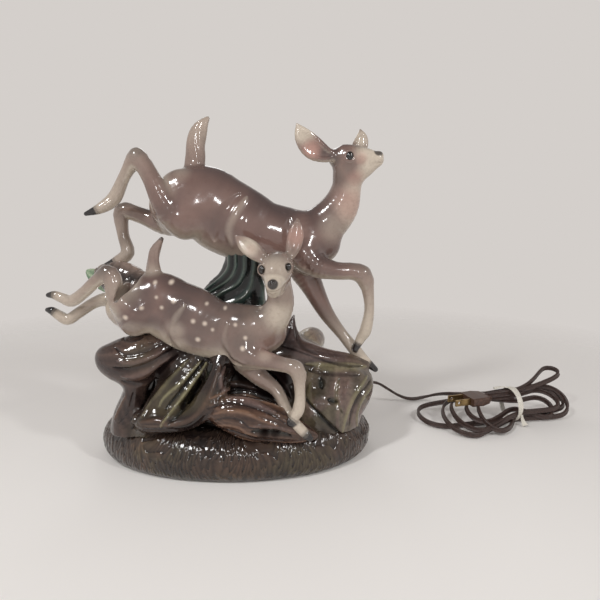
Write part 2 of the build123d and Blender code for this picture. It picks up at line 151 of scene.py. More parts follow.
def floor():
    """A pale floor that fades out into the room."""
    mesh = bpy.data.meshes.new("floor")
    corners = [(x * FLOOR_REACH, y * FLOOR_REACH, 0) for x, y in ((-1, -1), (1, -1), (1, 1), (-1, 1))]
    mesh.from_pydata(corners, [], [(0, 1, 2, 3)])
    piece = bpy.data.objects.new("floor", mesh)
    SCENE.objects.link(piece)
    finish = Finish("floor", (0, 0, 0, 1), roughness=0.6)
    finish.shader.inputs["Base Color"].default_value = srgb(243, 240, 237)
    finish.shader.inputs["Specular IOR Level"].default_value = 0.2
    place = finish.node("ShaderNodeTexCoord").outputs["Object"]
    far = finish.node("ShaderNodeVectorMath", operation="LENGTH")
    finish.join(place, far.inputs[0])
    fade = finish.node("ShaderNodeMapRange")
    fade.inputs["From Min"].default_value = FLOOR_FADE[0]
    fade.inputs["From Max"].default_value = FLOOR_FADE[1]
    finish.join(far.outputs["Value"], fade.inputs["Value"])
    clear = finish.node("ShaderNodeBsdfTransparent")
    blend = finish.node("ShaderNodeMixShader")
    finish.join(fade.outputs["Result"], blend.inputs[0])
    finish.join(finish.shader.outputs[0], blend.inputs[1])
    finish.join(clear.outputs[0], blend.inputs[2])
    finish.join(blend.outputs[0], finish.output.inputs[0])
    mesh.materials.append(finish.material)


# ---------------------------------------------------------------- materials


class Finish:
    """A Principled material, with the few kinds of node that these finishes are mixed from."""

    def __init__(self, name, colour, roughness=0.3, metallic=0.0, coat=0.0):
        self.material = bpy.data.materials.new(name)
        self.material.use_nodes = True
        self.tree = self.material.node_tree
        self.shader = self.tree.nodes["Principled BSDF"]
        self.output = self.tree.nodes["Material Output"]
        self.shader.inputs["Base Color"].default_value = colour
        self.shader.inputs["Roughness"].default_value = roughness
        self.shader.inputs["Metallic"].default_value = metallic
        self.shader.inputs["Coat Weight"].default_value = coat
        self.shader.inputs["Coat Roughness"].default_value = 0.03

    def node(self, kind, **settings):
        node = self.tree.nodes.new(kind)
        for name, value in settings.items():
            setattr(node, name, value)
        return node

    def join(self, start, end):
        self.tree.links.new(start, end)

    def mask(self, name):
        return self.node("ShaderNodeAttribute", attribute_name=name).outputs["Fac"]

    def tint(self, name):
        return self.node("ShaderNodeAttribute", attribute_name=name).outputs["Color"]

    def noise(self, scale, detail=3.0, stretch=(1, 1, 1)):
        place = self.node("ShaderNodeTexCoord").outputs["Object"]
        turn = self.node("ShaderNodeMapping")
        turn.inputs["Scale"].default_value = stretch
        self.join(place, turn.inputs["Vector"])
        noise = self.node("ShaderNodeTexNoise")
        noise.inputs["Scale"].default_value = scale
        noise.inputs["Detail"].default_value = detail
        self.join(turn.outputs["Vector"], noise.inputs["Vector"])
        return noise.outputs["Fac"]

    def between(self, value, low, high, start=0.0, end=1.0):
        node = self.node("ShaderNodeMapRange")
        node.inputs["From Min"].default_value = low
        node.inputs["From Max"].default_value = high
        node.inputs["To Min"].default_value = start
        node.inputs["To Max"].default_value = end
        self.join(value, node.inputs["Value"])
        return node.outputs["Result"]

    def times(self, value, amount):
        node = self.node("ShaderNodeMath", operation="MULTIPLY")
        self.join(value, node.inputs[0])
        node.inputs[1].default_value = amount
        return node.outputs[0]

    def mix(self, factor, first, second, how="MIX"):
        """second over first by factor; each is an output or a colour."""
        node = self.node("ShaderNodeMix", data_type="RGBA", blend_type=how)
        for value, socket in ((factor, node.inputs[0]), (first, node.inputs[6]), (second, node.inputs[7])):
            if isinstance(value, (tuple, float)):
                socket.default_value = value
            else:
                self.join(value, socket)
        return node.outputs[2]

    def colour(self, value):
        self.join(value, self.shader.inputs["Base Color"])

    def rough(self, value):
        self.join(value, self.shader.inputs["Roughness"])

    def bump(self, height, distance, strength=1.0):
        node = self.node("ShaderNodeBump")
        node.inputs["Strength"].default_value = strength
        node.inputs["Distance"].default_value = distance
        self.join(height, node.inputs["Height"])
        self.join(node.outputs["Normal"], self.shader.inputs["Normal"])


def deer_glaze():
    finish = Finish("deer_glaze", srgb(126, 106, 98), roughness=0.16, coat=0.6)
    cloud = finish.noise(38, 3)
    grain = finish.noise(420, 2)
    body = finish.mix(finish.between(cloud, 0.35, 0.7), srgb(109, 87, 81), srgb(126, 100, 92))
    body = finish.mix(finish.mask("shade"), body, srgb(72, 60, 59))
    body = finish.mix(finish.mask("cream"), body, srgb(198, 186, 170))
    body = finish.mix(finish.mask("pink"), body, srgb(180, 140, 128))
    body = finish.mix(finish.times(finish.between(grain, 0.5, 0.75), 0.16), body, srgb(96, 74, 66))
    body = finish.mix(finish.mask("spot"), body, srgb(222, 206, 190))
    body = finish.mix(finish.mask("ink"), body, srgb(34, 31, 32))
    finish.colour(body)
    finish.rough(finish.between(cloud, 0.3, 0.75, 0.1, 0.22))
    finish.bump(finish.noise(240, 2), 0.0002, 0.35)
    return finish.material


def rock_glaze():
    finish = Finish("rock_glaze", srgb(70, 48, 42), roughness=0.14, coat=0.5)
    cloud = finish.noise(30, 4)
    grain = finish.noise(260, 3)
    body = finish.tint("tint")
    body = finish.mix(finish.times(finish.between(cloud, 0.45, 0.75), 0.14), body, srgb(100, 74, 58))
    body = finish.mix(finish.times(finish.between(grain, 0.45, 0.7), 0.35), body, srgb(34, 25, 24))
    body = finish.mix(finish.times(finish.mask("crest"), 0.3), body, srgb(150, 124, 104), "SCREEN")
    # Painted shade: the hollow mask turns the glaze near black and takes away its gloss, specular and coat.
    hollow = finish.mask("hollow")
    finish.colour(finish.mix(hollow, body, srgb(20, 14, 14)))
    finish.rough(finish.between(hollow, 0.5, 0.95, 0.12, 0.5))
    for socket, most in (("Specular IOR Level", 0.34), ("Coat Weight", 0.5)):
        finish.join(finish.between(hollow, 0.3, 0.9, most, 0.0), finish.shader.inputs[socket])
    finish.bump(grain, 0.0003, 0.5)
    return finish.material


def metal(name, colour, tarnish, roughness):
    finish = Finish(name, colour, roughness=roughness, metallic=1.0)
    cloud = finish.noise(160, 4)
    finish.colour(finish.mix(finish.between(cloud, 0.42, 0.72), colour, tarnish))
    finish.rough(finish.between(cloud, 0.3, 0.8, roughness - 0.08, roughness + 0.15))
    finish.bump(finish.noise(900, 2, (1, 1, 0.2)), 0.00005, 0.4)
    return finish.material


def moulded(name, colour, pale, roughness, grain=500):
    finish = Finish(name, colour, roughness=roughness)
    cloud = finish.noise(grain, 3)
    finish.colour(finish.mix(finish.between(cloud, 0.4, 0.75), colour, pale))
    finish.rough(finish.between(cloud, 0.3, 0.75, roughness - 0.06, roughness + 0.1))
    finish.bump(cloud, 0.00006, 0.5)
    return finish.material


def frosted_glass(name, frost):
    finish = Finish(name, srgb(238, 236, 230), roughness=frost)
    finish.shader.inputs["Transmission Weight"].default_value = 0.75
    finish.shader.inputs["IOR"].default_value = 1.3
    finish.bump(finish.noise(700, 2), 0.00003, 0.3)
    return finish.material


# ---------------------------------------------------------------- modelling in clay

SMOOTHINGS = 6
FAR = 30.0


def smooth_rows(table, parts=4):
    """A table of rows, with as many more between them on a smooth curve through all of them."""
    rows = [row if len(row) == 5 else (*row, row[3]) for row in table]
    rows = np.array([rows[0], *rows, rows[-1]], float)
    made = []
    for a, b, c, d in zip(rows, rows[1:], rows[2:], rows[3:]):
        for t in np.linspace(0, 1, parts, endpoint=False):
            curve = 2 * b + (c - a) * t + (2 * a - 5 * b + 4 * c - d) * t**2 + (3 * b - a - 3 * c + d) * t**3
            made.append(curve / 2)
    made.append(rows[-1])
    made = np.array(made)
    made[:, 3:] = np.maximum(made[:, 3:], 0.4)
    return made


def span_distance(x, y, z, start, end, side):
    """How far points are outside one span of a limb, an elliptical cone, and how far along it they are."""
    run = end[:3] - start[:3]
    px, py, pz = x - start[0], y - start[1], z - start[2]
    t = np.clip((px * run[0] + py * run[1] + pz * run[2]) / max(run @ run, 1e-6), 0, 1)
    px, py, pz = px - t * run[0], py - t * run[1], pz - t * run[2]
    across = (px * side[0] + py * side[1] + pz * side[2]) ** 2
    rest = px * px + py * py + pz * pz - across + 1e-3
    thick = (start[3] + t * (end[3] - start[3])) ** 2
    wide = (start[4] + t * (end[4] - start[4])) ** 2
    near = np.sqrt(rest / thick + across / wide)
    slope = np.sqrt(rest / thick**2 + across / wide**2)
    return near * (near - 1) / slope, t


class Clay:
    """A block of distances to a surface, in millimetres, which limbs are pressed onto and out of."""

    def __init__(self, low, high, pitch):
        self.low = np.array(low, float)
        self.pitch = pitch
        size = np.ceil((np.array(high) - self.low) / pitch).astype(int) + 1
        self.block = np.full(size, FAR, np.float32)

    def window(self, low, high):
        """The part of the block between two corners, and its x, y and z values."""
        first = np.clip(np.floor((low - self.low) / self.pitch).astype(int), 0, self.block.shape)
        last = np.clip(np.ceil((high - self.low) / self.pitch).astype(int) + 1, 0, self.block.shape)
        axes = [self.low[i] + self.pitch * np.arange(first[i], last[i], dtype=np.float32) for i in range(3)]
        return tuple(slice(a, b) for a, b in zip(first, last)), axes

    def limb(self, table, side, room):
        rows = smooth_rows(table)
        reach = rows[:, 3:].max(axis=1) + room
        where, axes = self.window(
            (rows[:, :3] - reach[:, None]).min(0), (rows[:, :3] + reach[:, None]).max(0)
        )
        field = np.full([len(axis) for axis in axes], FAR, np.float32)
        for start, end, wide in zip(rows, rows[1:], np.maximum(reach[:-1], reach[1:])):
            low, high = np.minimum(start, end) - wide, np.maximum(start, end) + wide
            part = tuple(slice(*np.searchsorted(axes[i], (low[i], high[i]))) for i in range(3))
            x, y, z = np.ix_(*(axis[span] for axis, span in zip(axes, part)))
            field[part] = np.minimum(field[part], span_distance(x, y, z, start, end, side)[0])
        return where, field

    def add(self, table, soft=3.0, side=(0, 1, 0)):
        where, field = self.limb(table, side, soft + 2)
        here = self.block[where]
        t = np.clip(0.5 + 0.5 * (here - field) / soft, 0, 1)
        self.block[where] = here + (field - here) * t - soft * t * (1 - t)

    def cut(self, table, soft=1.0, side=(0, 1, 0)):
        where, field = self.limb(table, side, soft + 2)
        here, field = self.block[where], -field
        t = np.clip(0.5 - 0.5 * (here - field) / soft, 0, 1)
        self.block[where] = here + (field - here) * t + soft * t * (1 - t)

    def shave(self, outside):
        """Cuts away what is outside, given the distance outside at each point."""
        _, axes = self.window(self.low, self.low + self.pitch * np.array(self.block.shape))
        self.block = np.maximum(self.block, outside(*np.ix_(*axes)).astype(np.float32))

    def skin(self, name):
        """The surface as a mesh of quads, with its points in the tables' millimetres."""
        grid = openvdb.FloatGrid(FAR)
        grid.copyFromArray(self.block)
        points, quads = grid.convertToQuads(0.0)
        points = self.low + self.pitch * points.astype(float)
        return Skin(name, points, quads, SMOOTHINGS)


class Skin:
    """A mesh being finished: its points, what each is near, and the masks that its material reads."""

    def __init__(self, name, points, quads, rounds=0):
        self.name, self.points, self.quads = name, points, quads
        ends = np.vstack([quads[:, [i, (i + 1) % 4]] for i in range(4)])
        self.a, self.b = ends[:, 0], ends[:, 1]
        self.count = np.bincount(self.a, minlength=len(points)) + np.bincount(self.b, minlength=len(points))
        for _ in range(rounds):
            for strength in (0.5, -0.52):
                self.points = self.points + strength * (self.around(self.points) - self.points)
        self.masks = {}
        self.facing = self.normals()[:, 1]

    def around(self, values):
        """The mean of each point's neighbours, for a number or a vector at each point."""
        if values.ndim == 2:
            return np.stack([self.around(values[:, i]) for i in range(values.shape[1])], axis=1)
        total = np.bincount(self.a, values[self.b], len(self.points))
        return (total + np.bincount(self.b, values[self.a], len(self.points))) / self.count

    def normals(self):
        p, q = self.points, self.quads
        facing = np.cross(p[q[:, 2]] - p[q[:, 0]], p[q[:, 3]] - p[q[:, 1]])
        total = np.stack(
            [sum(np.bincount(q[:, k], facing[:, i], len(p)) for k in range(4)) for i in range(3)], axis=1
        )
        return total / np.maximum(np.linalg.norm(total, axis=1, keepdims=True), 1e-9)

    def near(self, table, side=(0, 1, 0)):
        """For each point: the distance to a limb, how far along it is in mm, and the angle round it."""
        rows = smooth_rows(table)
        x, y, z = self.points.T
        best = np.full(len(x), 1e9)
        along, turn = np.zeros(len(x)), np.zeros(len(x))
        gone = 0.0
        for start, end in zip(rows, rows[1:]):
            run = end[:3] - start[:3]
            length = np.linalg.norm(run)
            if length < 1e-6:
                continue
            away, t = span_distance(x, y, z, start, end, side)
            closer = away < best
            lift = np.cross(run / length, side)
            lift = lift / max(np.linalg.norm(lift), 1e-6)
            offset = self.points - start[:3]
            angle = np.arctan2(offset @ lift, offset @ np.array(side, float))
            best = np.where(closer, away, best)
            along = np.where(closer, gone + t * length, along)
            turn = np.where(closer, angle, turn)
            gone += length
        return best, along, turn, gone

    def push(self, amount):
        """Moves each point out along its normal, in millimetres."""
        self.points = self.points + self.normals() * amount[:, None]

    def away(self, x, y, z):
        return np.linalg.norm(self.points - (x, y, z), axis=1)

    def make(self, material, slot, *replaced):
        """The finished object, riding on the lamp."""
        mesh = bpy.data.meshes.new(self.name)
        mesh.vertices.add(len(self.points))
        mesh.loops.add(self.quads.size)
        mesh.polygons.add(len(self.quads))
        placed = self.points * MM + (AXIS_X, 0, 0)
        mesh.vertices.foreach_set("co", placed.astype(np.float32).ravel())
        mesh.loops.foreach_set("vertex_index", self.quads.astype(np.int32).ravel())
        mesh.polygons.foreach_set("loop_start", np.arange(0, self.quads.size, 4, dtype=np.int32))
        mesh.update(calc_edges=True)
        mesh.validate()
        mesh.shade_smooth()
        for name, values in self.masks.items():
            kind, field = ("FLOAT_COLOR", "color") if values.ndim == 2 else ("FLOAT", "value")
            data = mesh.attributes.new(name, kind, "POINT").data
            data.foreach_set(field, np.clip(values, 0, 1).astype(np.float32).ravel())
        return finished(self.name, mesh, material, slot, "lamp", *replaced)


def finished(name, mesh, material, slot, body, *replaced):
    """An object of a mesh that is in place, with its material, its body and what it stands for. slot is not
    used.
    """
    piece = bpy.data.objects.new(name, mesh)
    SCENE.objects.link(piece)
    mesh.materials.append(material)
    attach(piece, body)
    if replaced:
        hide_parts(*replaced)
    return piece


def ball(x, y, z, radius, wide=None):
    wide = wide or radius
    return [(x, y, z, radius, wide), (x + 0.1, y, z, radius, wide)]


# ---------------------------------------------------------------- the doe and the fawn

# Each limb: its rows (x, y, z, half thickness, half width), how cream its start and its end are, and its
# hoof's length. Cuts, muscles and ears are rows too. A look's rows are soft balls, as blobs() says; the shade
# rows hold the coat's darker airbrushing and also painted shade in the creases where the legs meet the body.
# A fold is its half width, how far out it stands, how much painted highlight runs along it in cream, and its
# path of (x, z).
DOE = {
    "torso": (
        [
            (-66, 14, 214, 9, 11), (-54, 14, 217, 25, 19), (-32, 14, 219, 31, 22), (-16, 14, 208, 33.5, 22),
            (2, 14, 199, 32, 21), (20, 14, 192, 28, 19), (45, 14, 186, 27, 19), (66, 14, 184, 22, 16),
            (76, 14, 182, 12, 10),
        ],
        0.0, 0.0, 0,
    ),
    "neck": (
        [(58, 14, 186, 21, 17), (76, 14, 200, 18.5, 15), (88, 12, 214, 16, 13), (93, 11, 229, 13, 11.5),
         (94, 9, 242, 12, 10.5), (92, 8, 252, 11, 10)],
        0.0, 0.1, 0,
    ),
    "head": (
        [(84, 9, 256, 7.2), (90, 8, 256, 9.2, 10), (98, 6, 256, 9.8, 9.6), (107, 4.8, 256.4, 7.2, 7),
         (114, 3.8, 255.4, 5.6), (118.5, 3.2, 254.6, 4.8)],
        0.0, 0.75, 0,
    ),
    "tail": (
        [(-42, 14, 240, 8, 6), (-38, 14, 254, 8.6, 5), (-37, 14, 268, 8.2, 4.4), (-33, 14, 280, 6.6, 3.6),
         (-26, 14, 289, 1.6, 1.4)],
        0.15, 0.5, 0,
    ),
    "near_hind_leg": (
        [(-40, 8, 212, 15), (-53, 0, 205, 12.5), (-63, -5, 220, 9.6), (-71, -6, 238, 7.6),
         (-82, -4, 253, 7.2),
         (-94, -1, 240, 4.9), (-105, 2, 222, 5.8), (-115, -3, 213, 4.6), (-127, -6, 208, 1.8)],
        0.0, 0.65, 12,
    ),
    "far_hind_leg": (
        [(-50, 22, 203, 15), (-70, 24, 200, 10), (-90, 26, 207, 7.6), (-108, 26, 211, 7.4),
         (-108, 24, 191, 5.2), (-104, 22, 174, 6), (-114, 20, 166, 4.6), (-123, 18, 163, 2)],
        0.1, 0.5, 12,
    ),
    "near_foreleg": (
        [(56, 2, 174, 14), (68, -3, 164, 10.5), (84, -6, 160, 7.8), (106, -8, 157, 7),
         (113, -6, 131, 4.3), (111, -4, 109, 5.2), (107, -2, 100, 4.4), (102, -3, 90, 2.6)],
        0.0, 0.95, 9,
    ),
    "far_foreleg": (
        [(56, 18, 160, 14), (64, 16, 144, 10.2), (76, 14, 121, 7.2), (91, 10, 101, 5.2), (102, 6, 88, 5.6),
         (110, 4, 79, 5), (121, 2, 70, 2.6)],
        0.0, 0.9, 11,
    ),
}
DOE_MUSCLES = [
    [(-50, 6, 228, 17, 12), (-42, 4, 212, 21, 14), (-46, 2, 200, 14, 11)],
    [(-52, 22, 224, 18, 12), (-46, 24, 206, 19, 12)],
    [(52, 7, 200, 10, 9), (57, 4, 182, 13, 11), (60, 1, 170, 11, 9)],
    [(52, 21, 194, 10, 9), (57, 21, 170, 13, 10)],
    [(6, 5, 196, 18, 12), (-6, 6, 200, 14, 10)],
    [(94, 9, 242, 11, 9.5), (101, 7, 243.5, 9.6, 8), (109, 5, 247, 7.4, 6.2), (118, 3.5, 251.6, 4.2, 4.2)],
    [(-82, -4, 256, 5.5), (-84, -4, 250, 5)],
    [(106, -8, 157, 6.8), (109, -8, 152, 5.6)],
]
DOE_EARS = {
    "near_ear": [
        (83, 3, 257, 4, 3), (75, 1, 257, 6.4, 3.2), (64, -2, 262, 9.6, 3), (56, -5, 270, 7.4, 2.6),
        (50.5, -6, 280, 1, 1),
    ],
    "far_ear": [
        (102, 17, 261, 4, 3), (105.5, 22, 267, 7, 2.8), (107.5, 25, 274, 5.4, 2.2), (106.6, 28, 282, 1, 1),
    ],
}
DOE_CUTS = [
    [(78, -1.8, 256.5, 2, 1.6), (73, -3.4, 257.6, 4.2, 2.3), (64, -5.8, 262.4, 7, 2.4),
     (57, -7.8, 269.6, 5, 1.9),
     (52.6, -8, 276.6, 1.4, 0.8)],
    [(104, 18.4, 264, 3, 1.6), (106, 20.4, 268.6, 4.6, 2), (107.2, 23.4, 275.5, 3.2, 1.4)],
    [(94.5, -6.4, 255.8, 4.6), (95, -6.4, 255.8, 4.6)],
    [(94.5, 21.6, 255.8, 4.6), (95, 21.6, 255.8, 4.6)],
    [(122, 0.2, 250.4, 0.7), (116, -2.2, 249.4, 0.8), (108, -3.6, 249, 0.5)],
    [(122, 6, 250.4, 0.7), (116, 8.6, 249.4, 0.8), (108, 10.4, 249, 0.5)],
    [(123.4, 0.6, 255.2, 1.3), (122.4, -0.4, 256.2, 1.2)],
    [(123.4, 5.4, 255.2, 1.3), (122.4, 6.2, 256.2, 1.2)],
]
DOE_EYES = [(94.4, -2.1, 255.6, 3.4, 2.7, 3.8), (94.4, 16.6, 255.6, 3.4, 2.7, 3.8)]
DOE_LOOK = {
    "cream": [
        (-64, 10, 226, 8, 26, 0.8), (-62, 20, 222, 6, 24, 0.6), (108, 4, 243, 3, 13, 0.7),
        (101, 4, 226, 3, 17, 0.75),
        (98, 2, 210, 5, 22, 0.65), (84, -2, 196, 4, 20, 0.35), (116, 3, 252, 4, 14, 0.8),
        (106, -4, 258, 2, 11, 0.5), (-42, 14, 178, 6, 24, 0.35), (106, 25, 274, 3, 12, 0.75),
        (55, -6, 274, 4, 14, 0.85), (-83, -6, 236, 2, 14, 0.3), (-48, 4, 238, 2, 14, 0.4),
    ],
    "shade": [
        (28, 10, 214, 10, 40, 0.55), (-8, 12, 236, 8, 34, 0.35), (-18, -6, 202, 4, 20, 0.3),
        (74, 2, 206, 6, 26, 0.35),
        (-82, -8, 258, 2, 11, 0.85), (-57, -8, 212, 2, 13, 0.55), (82, 3, 254, 3, 11, 0.7),
        (84, 4, 240, 2, 13, 0.6),
        (74, 0, 176, 6, 22, 0.3), (-108, 24, 216, 2, 9, 0.6), (94, 8, 268, 2, 10, 0.5),
        (-104, 20, 174, 1, 9, 0.6),
        (108, -10, 158, 2, 9, 0.5), (94, -4, 246, 2, 10, 0.45), (50, -2, 176, 4, 20, 0.35),
        (73, -1, 259, 1, 7, 0.5),
    ],
    "pink": [
        (63, -7, 260, 3, 12, 0.85), (104, 0, 254, 2, 8, 0.5), (20, -8, 190, 8, 28, 0.15),
        (98, 2, 216, 6, 22, 0.5),
        (101, -2, 236, 3, 12, 0.4),
    ],
    "ink": [(118.6, 1, 258.4, 3.2, 4.4, 0.85)],
}
DOE_FOLDS = [
    (6, -1.2, 0.0, [(2, 224), (-10, 210), (-18, 198), (-20, 186)]),
    (5, 0.9, 0.3, [(8, 222), (-2, 206), (-7, 194), (-5, 180)]),
    (5, -0.7, 0.0, [(44, 204), (42, 188), (48, 174), (60, 162)]),
]

FAWN = {
    "torso": (
        [
            (-96, -28, 131, 7, 7), (-87, -28, 132, 18, 15), (-65, -28, 136, 25, 18),
            (-50, -28, 128.5, 26.5, 18),
            (-36, -28, 121.5, 27.5, 18), (-17, -28, 113.5, 24.5, 17), (6, -28, 111, 23.5, 16.5),
            (24, -28, 111, 17, 13),
            (32, -28, 111, 9, 8),
        ],
        0.0, 0.1, 0,
    ),
    "neck": ([(14, -28, 116, 16), (29, -30, 122, 14), (37, -32, 136, 11.2), (36, -35, 152, 10)], 0.2, 0.3, 0),
    "tail": (
        [(-67, -28, 150, 9, 6), (-66, -27, 160, 6.4, 4.6), (-65.8, -27, 169, 4.9, 3.8),
         (-64.2, -26, 178, 4.2, 3.4),
         (-58.4, -26, 187.6, 1.6, 1.4)],
        0.1, 0.2, 0,
    ),
    "near_hind_leg": (
        [(-80, -38, 131, 14), (-90, -42, 143, 9), (-95, -42, 161, 6), (-106, -41, 156, 5),
         (-118, -39, 146, 4.6),
         (-129, -37, 139, 4.8), (-137, -36, 141, 4), (-143, -36, 143.4, 3.4), (-148, -36, 143.4, 2)],
        0.0, 0.7, 8,
    ),
    "far_hind_leg": (
        [(-82, -20, 126, 12), (-96, -19, 131, 8), (-108, -19, 137, 6), (-119, -20, 134.5, 4.8),
         (-131, -24, 126.5, 4.6), (-139, -26, 121.5, 4.6), (-145, -27, 125, 4.2), (-150, -28, 129, 3.4),
         (-154, -28, 130, 2)],
        0.3, 0.8, 9,
    ),
    "near_foreleg": (
        [(8, -38, 97, 13), (20, -44, 93.5, 8.6), (36, -50, 91, 6.2), (50, -54, 87, 5.6), (53, -56, 69, 4.2),
         (52, -58, 57, 4.8), (49, -59.5, 51.5, 4.2), (45, -61, 46.5, 2.6)],
        0.1, 0.95, 7,
    ),
    "far_foreleg": (
        [(8, -30, 87, 11), (20, -37, 76, 7.6), (34, -42, 66, 5.2), (42, -50, 53, 4.5), (47, -55, 45, 4.8),
         (53, -59, 41, 4.2), (58, -62, 37, 3.6), (61, -63, 34.5, 2.4)],
        0.2, 0.95, 8,
    ),
}
FAWN_HEAD = [
    [(35, -27, 166, 8, 9), (35, -34, 166.5, 12.2, 13), (34.6, -43, 164, 12.6, 12.6), (34, -51, 159, 9.4, 9),
     (33.2, -58, 155, 6.6, 6.6), (32.6, -62, 153, 4.8, 5)],
    [(35, -38, 156, 8, 9), (34, -48, 151, 7, 7), (33, -56, 149, 5, 5.2)],
]
FAWN_MUSCLES = [
    [(-78, -35, 140, 13, 10), (-76, -36, 130, 16, 11), (-80, -37, 122, 12, 9)],
    [(-82, -20, 138, 15, 10), (-78, -20, 126, 16, 10)],
    [(6, -36, 118, 10, 9), (9, -38, 104, 13, 10)],
    [(6, -20, 118, 10, 9), (9, -21, 104, 12, 9)],
    [(50, -54, 88, 5.4), (53, -54.5, 83, 4.4)],
    [(-98, -42, 162, 4.8), (-100, -42, 160, 4.4)],
]
FAWN_EARS = {
    "left_ear": [
        (25, -34, 171, 3.4, 3), (18, -32, 177, 6.6, 2.8), (10, -31, 183, 6.4, 2.4), (2, -30, 190, 1.2, 1),
    ],
    "right_ear": [
        (45, -32, 174, 3.4, 3), (48, -30, 183, 6.4, 2.8), (50, -29, 193, 6, 2.4), (51, -27, 203, 1.2, 1),
    ],
}
FAWN_CUTS = [
    [(-80, -22, 170, 7, 40), (-81, -22, 156, 6, 40), (-86, -22, 147, 3.6, 40), (-89, -22, 141, 2, 40)],
    [(22, -36.5, 173, 2, 1.4), (17, -35.6, 177.6, 4.4, 2), (10.5, -34, 183, 4.3, 1.8),
     (5, -32.4, 187.6, 1.4, 0.8)],
    [(46.4, -35, 178, 2, 1.2), (48, -33.4, 183.5, 4.2, 2), (50, -32, 192, 4, 1.8),
     (50.8, -29.6, 199, 1.4, 0.8)],
    [(22.4, -52, 165, 4.2), (22.6, -52, 165, 4.2)],
    [(45.6, -50.5, 167, 4.2), (45.8, -50.5, 167, 4.2)],
    [(27, -61, 150.8, 0.6), (33, -65.4, 149.6, 0.8), (39, -60.4, 150.8, 0.6)],
    [(30.8, -68.4, 155.4, 1.2), (30, -67.2, 156.4, 1.1)],
    [(35.2, -68.4, 155.4, 1.2), (36, -67, 156.4, 1.1)],
]
FAWN_EYES = [(23.8, -48.6, 164.8, 2.7, 2.9, 3.7), (43.6, -46.8, 167, 2.8, 2.9, 3.4)]
FAWN_LOOK = {
    "cream": [
        (-98, -34, 140, 8, 24, 0.85), (-84, -38, 152, 4, 15, 0.8), (-94, -44, 134, 4, 16, 0.6),
        (33, -58, 152, 8, 14, 0.95), (37, -38, 126, 5, 18, 0.6),
        (12, -34, 181, 2, 12, 0.85), (34, -54, 165, 4, 16, 0.4), (-90, -40, 148, 8, 24, 0.4),
        (-60, -30, 110, 6, 22, 0.5), (-14, -30, 92, 6, 24, 0.55),
        (-46, -46, 116, 2, 12, 0.4), (-44, -46, 104, 2, 12, 0.4), (-66, -28, 160, 2, 12, 0.4),
        (26, -52, 99, 1, 9, 0.4),
    ],
    "shade": [
        (-40, -30, 150, 6, 30, 0.4), (-10, -30, 138, 6, 28, 0.4), (-100, -45, 165, 3, 10, 0.9),
        (52, -56, 84, 1, 8, 0.4),
        (35, -38, 180, 2, 11, 0.6), (-82, -46, 128, 3, 18, 0.3), (22, -42, 130, 3, 16, 0.4),
        (4, -44, 122, 3, 15, 0.45),
        (-14, -44, 116, 3, 18, 0.25), (-134, -30, 134, 1, 8, 0.25), (-62, -46, 122, 3, 13, 0.4),
        (44, -40, 172, 1, 8, 0.4),
        (26, -44, 172, 1, 8, 0.4), (-42, -46, 134, 5, 22, 0.6), (-72, -46, 142, 5, 20, 0.5),
        (-20, -46, 122, 5, 20, 0.55),
        (34, -48, 172, 1, 9, 0.3), (-30, -46, 108, 2, 16, 0.45), (-4, -40, 108, 10, 34, 0.3),
        (8, -46, 108, 4, 18, 0.5), (-88, -44, 128, 2, 12, 0.3),
    ],
    "pink": [(50, -32, 190, 3, 12, 0.6), (14, -34, 180, 2, 6, 0.25), (28, -44, 100, 3, 16, 0.25)],
    "ink": [(33, -66.8, 156.2, 3.6, 5, 0.95), (-58.4, -26, 188, 1.5, 3, 0.7)],
}
FAWN_FOLDS = [
    (5, -1.1, 0.0, [(-40, 139), (-50, 128), (-54, 114), (-52, 103)]),
    (4, 0.8, 0.3, [(-37, 137), (-45, 126), (-48, 114), (-44, 101)]),
    (4, -0.9, 0.0, [(-10, 124), (-12, 110), (-7, 97), (6, 89)]),
    (4, 0.6, 0.2, [(-4, 122), (-7, 110), (-2, 98), (10, 91)]),
]
SPOTS = [
    (-61, 154), (-49, 154), (-59, 143), (-46, 140), (-70, 135), (-55, 135), (-82, 128), (-21, 137),
    (-31, 124),
    (-22, 122), (-16, 117), (-28, 109), (2, 121), (10, 111), (8, 103), (-7, 133), (15, 138), (21, 134),
]


def blobs(skin, rows):
    """A mask made of soft balls: x, y, z, the radii where it is full and where it ends, and how strong."""
    mask = np.zeros(len(skin.points))
    for x, y, z, full, end, strength in rows:
        mask = np.maximum(mask, strength * step(end, full, skin.away(x, y, z)))
    return mask


def cavities(skin, rounds=5):
    """How hollow the surface is at each point, above 0 in a groove and below 0 on a crest, in millimetres."""
    mean = skin.points
    for _ in range(rounds):
        mean = skin.around(mean)
    return ((mean - skin.points) * skin.normals()).sum(axis=1)


def stroke(skin, path, wide):
    """How near each point that faces forward is to a stroke along a path of (x, z), from 0 to 1."""
    rows = smooth_rows([(x, 0, z, 1, 1) for x, z in path])[:, [0, 2]]
    x, y, z = skin.points.T
    best, along, gone = np.full(len(x), 1e9), np.zeros(len(x)), 0.0
    for start, run in zip(rows, np.diff(rows, axis=0)):
        length = max(np.hypot(*run), 1e-6)
        t = np.clip(((x - start[0]) * run[0] + (z - start[1]) * run[1]) / length**2, 0, 1)
        away = np.hypot(x - start[0] - t * run[0], z - start[1] - t * run[1])
        along = np.where(away < best, gone + t * length, along)
        best = np.minimum(best, away)
        gone += length
    taper = 0.3 + 0.7 * np.sqrt(np.clip(np.sin(math.pi * along / gone), 0, 1))
    return np.clip(1 - (best / (wide * taper)) ** 2, 0, 1) ** 1.5 * step(0.25, -0.2, skin.facing)


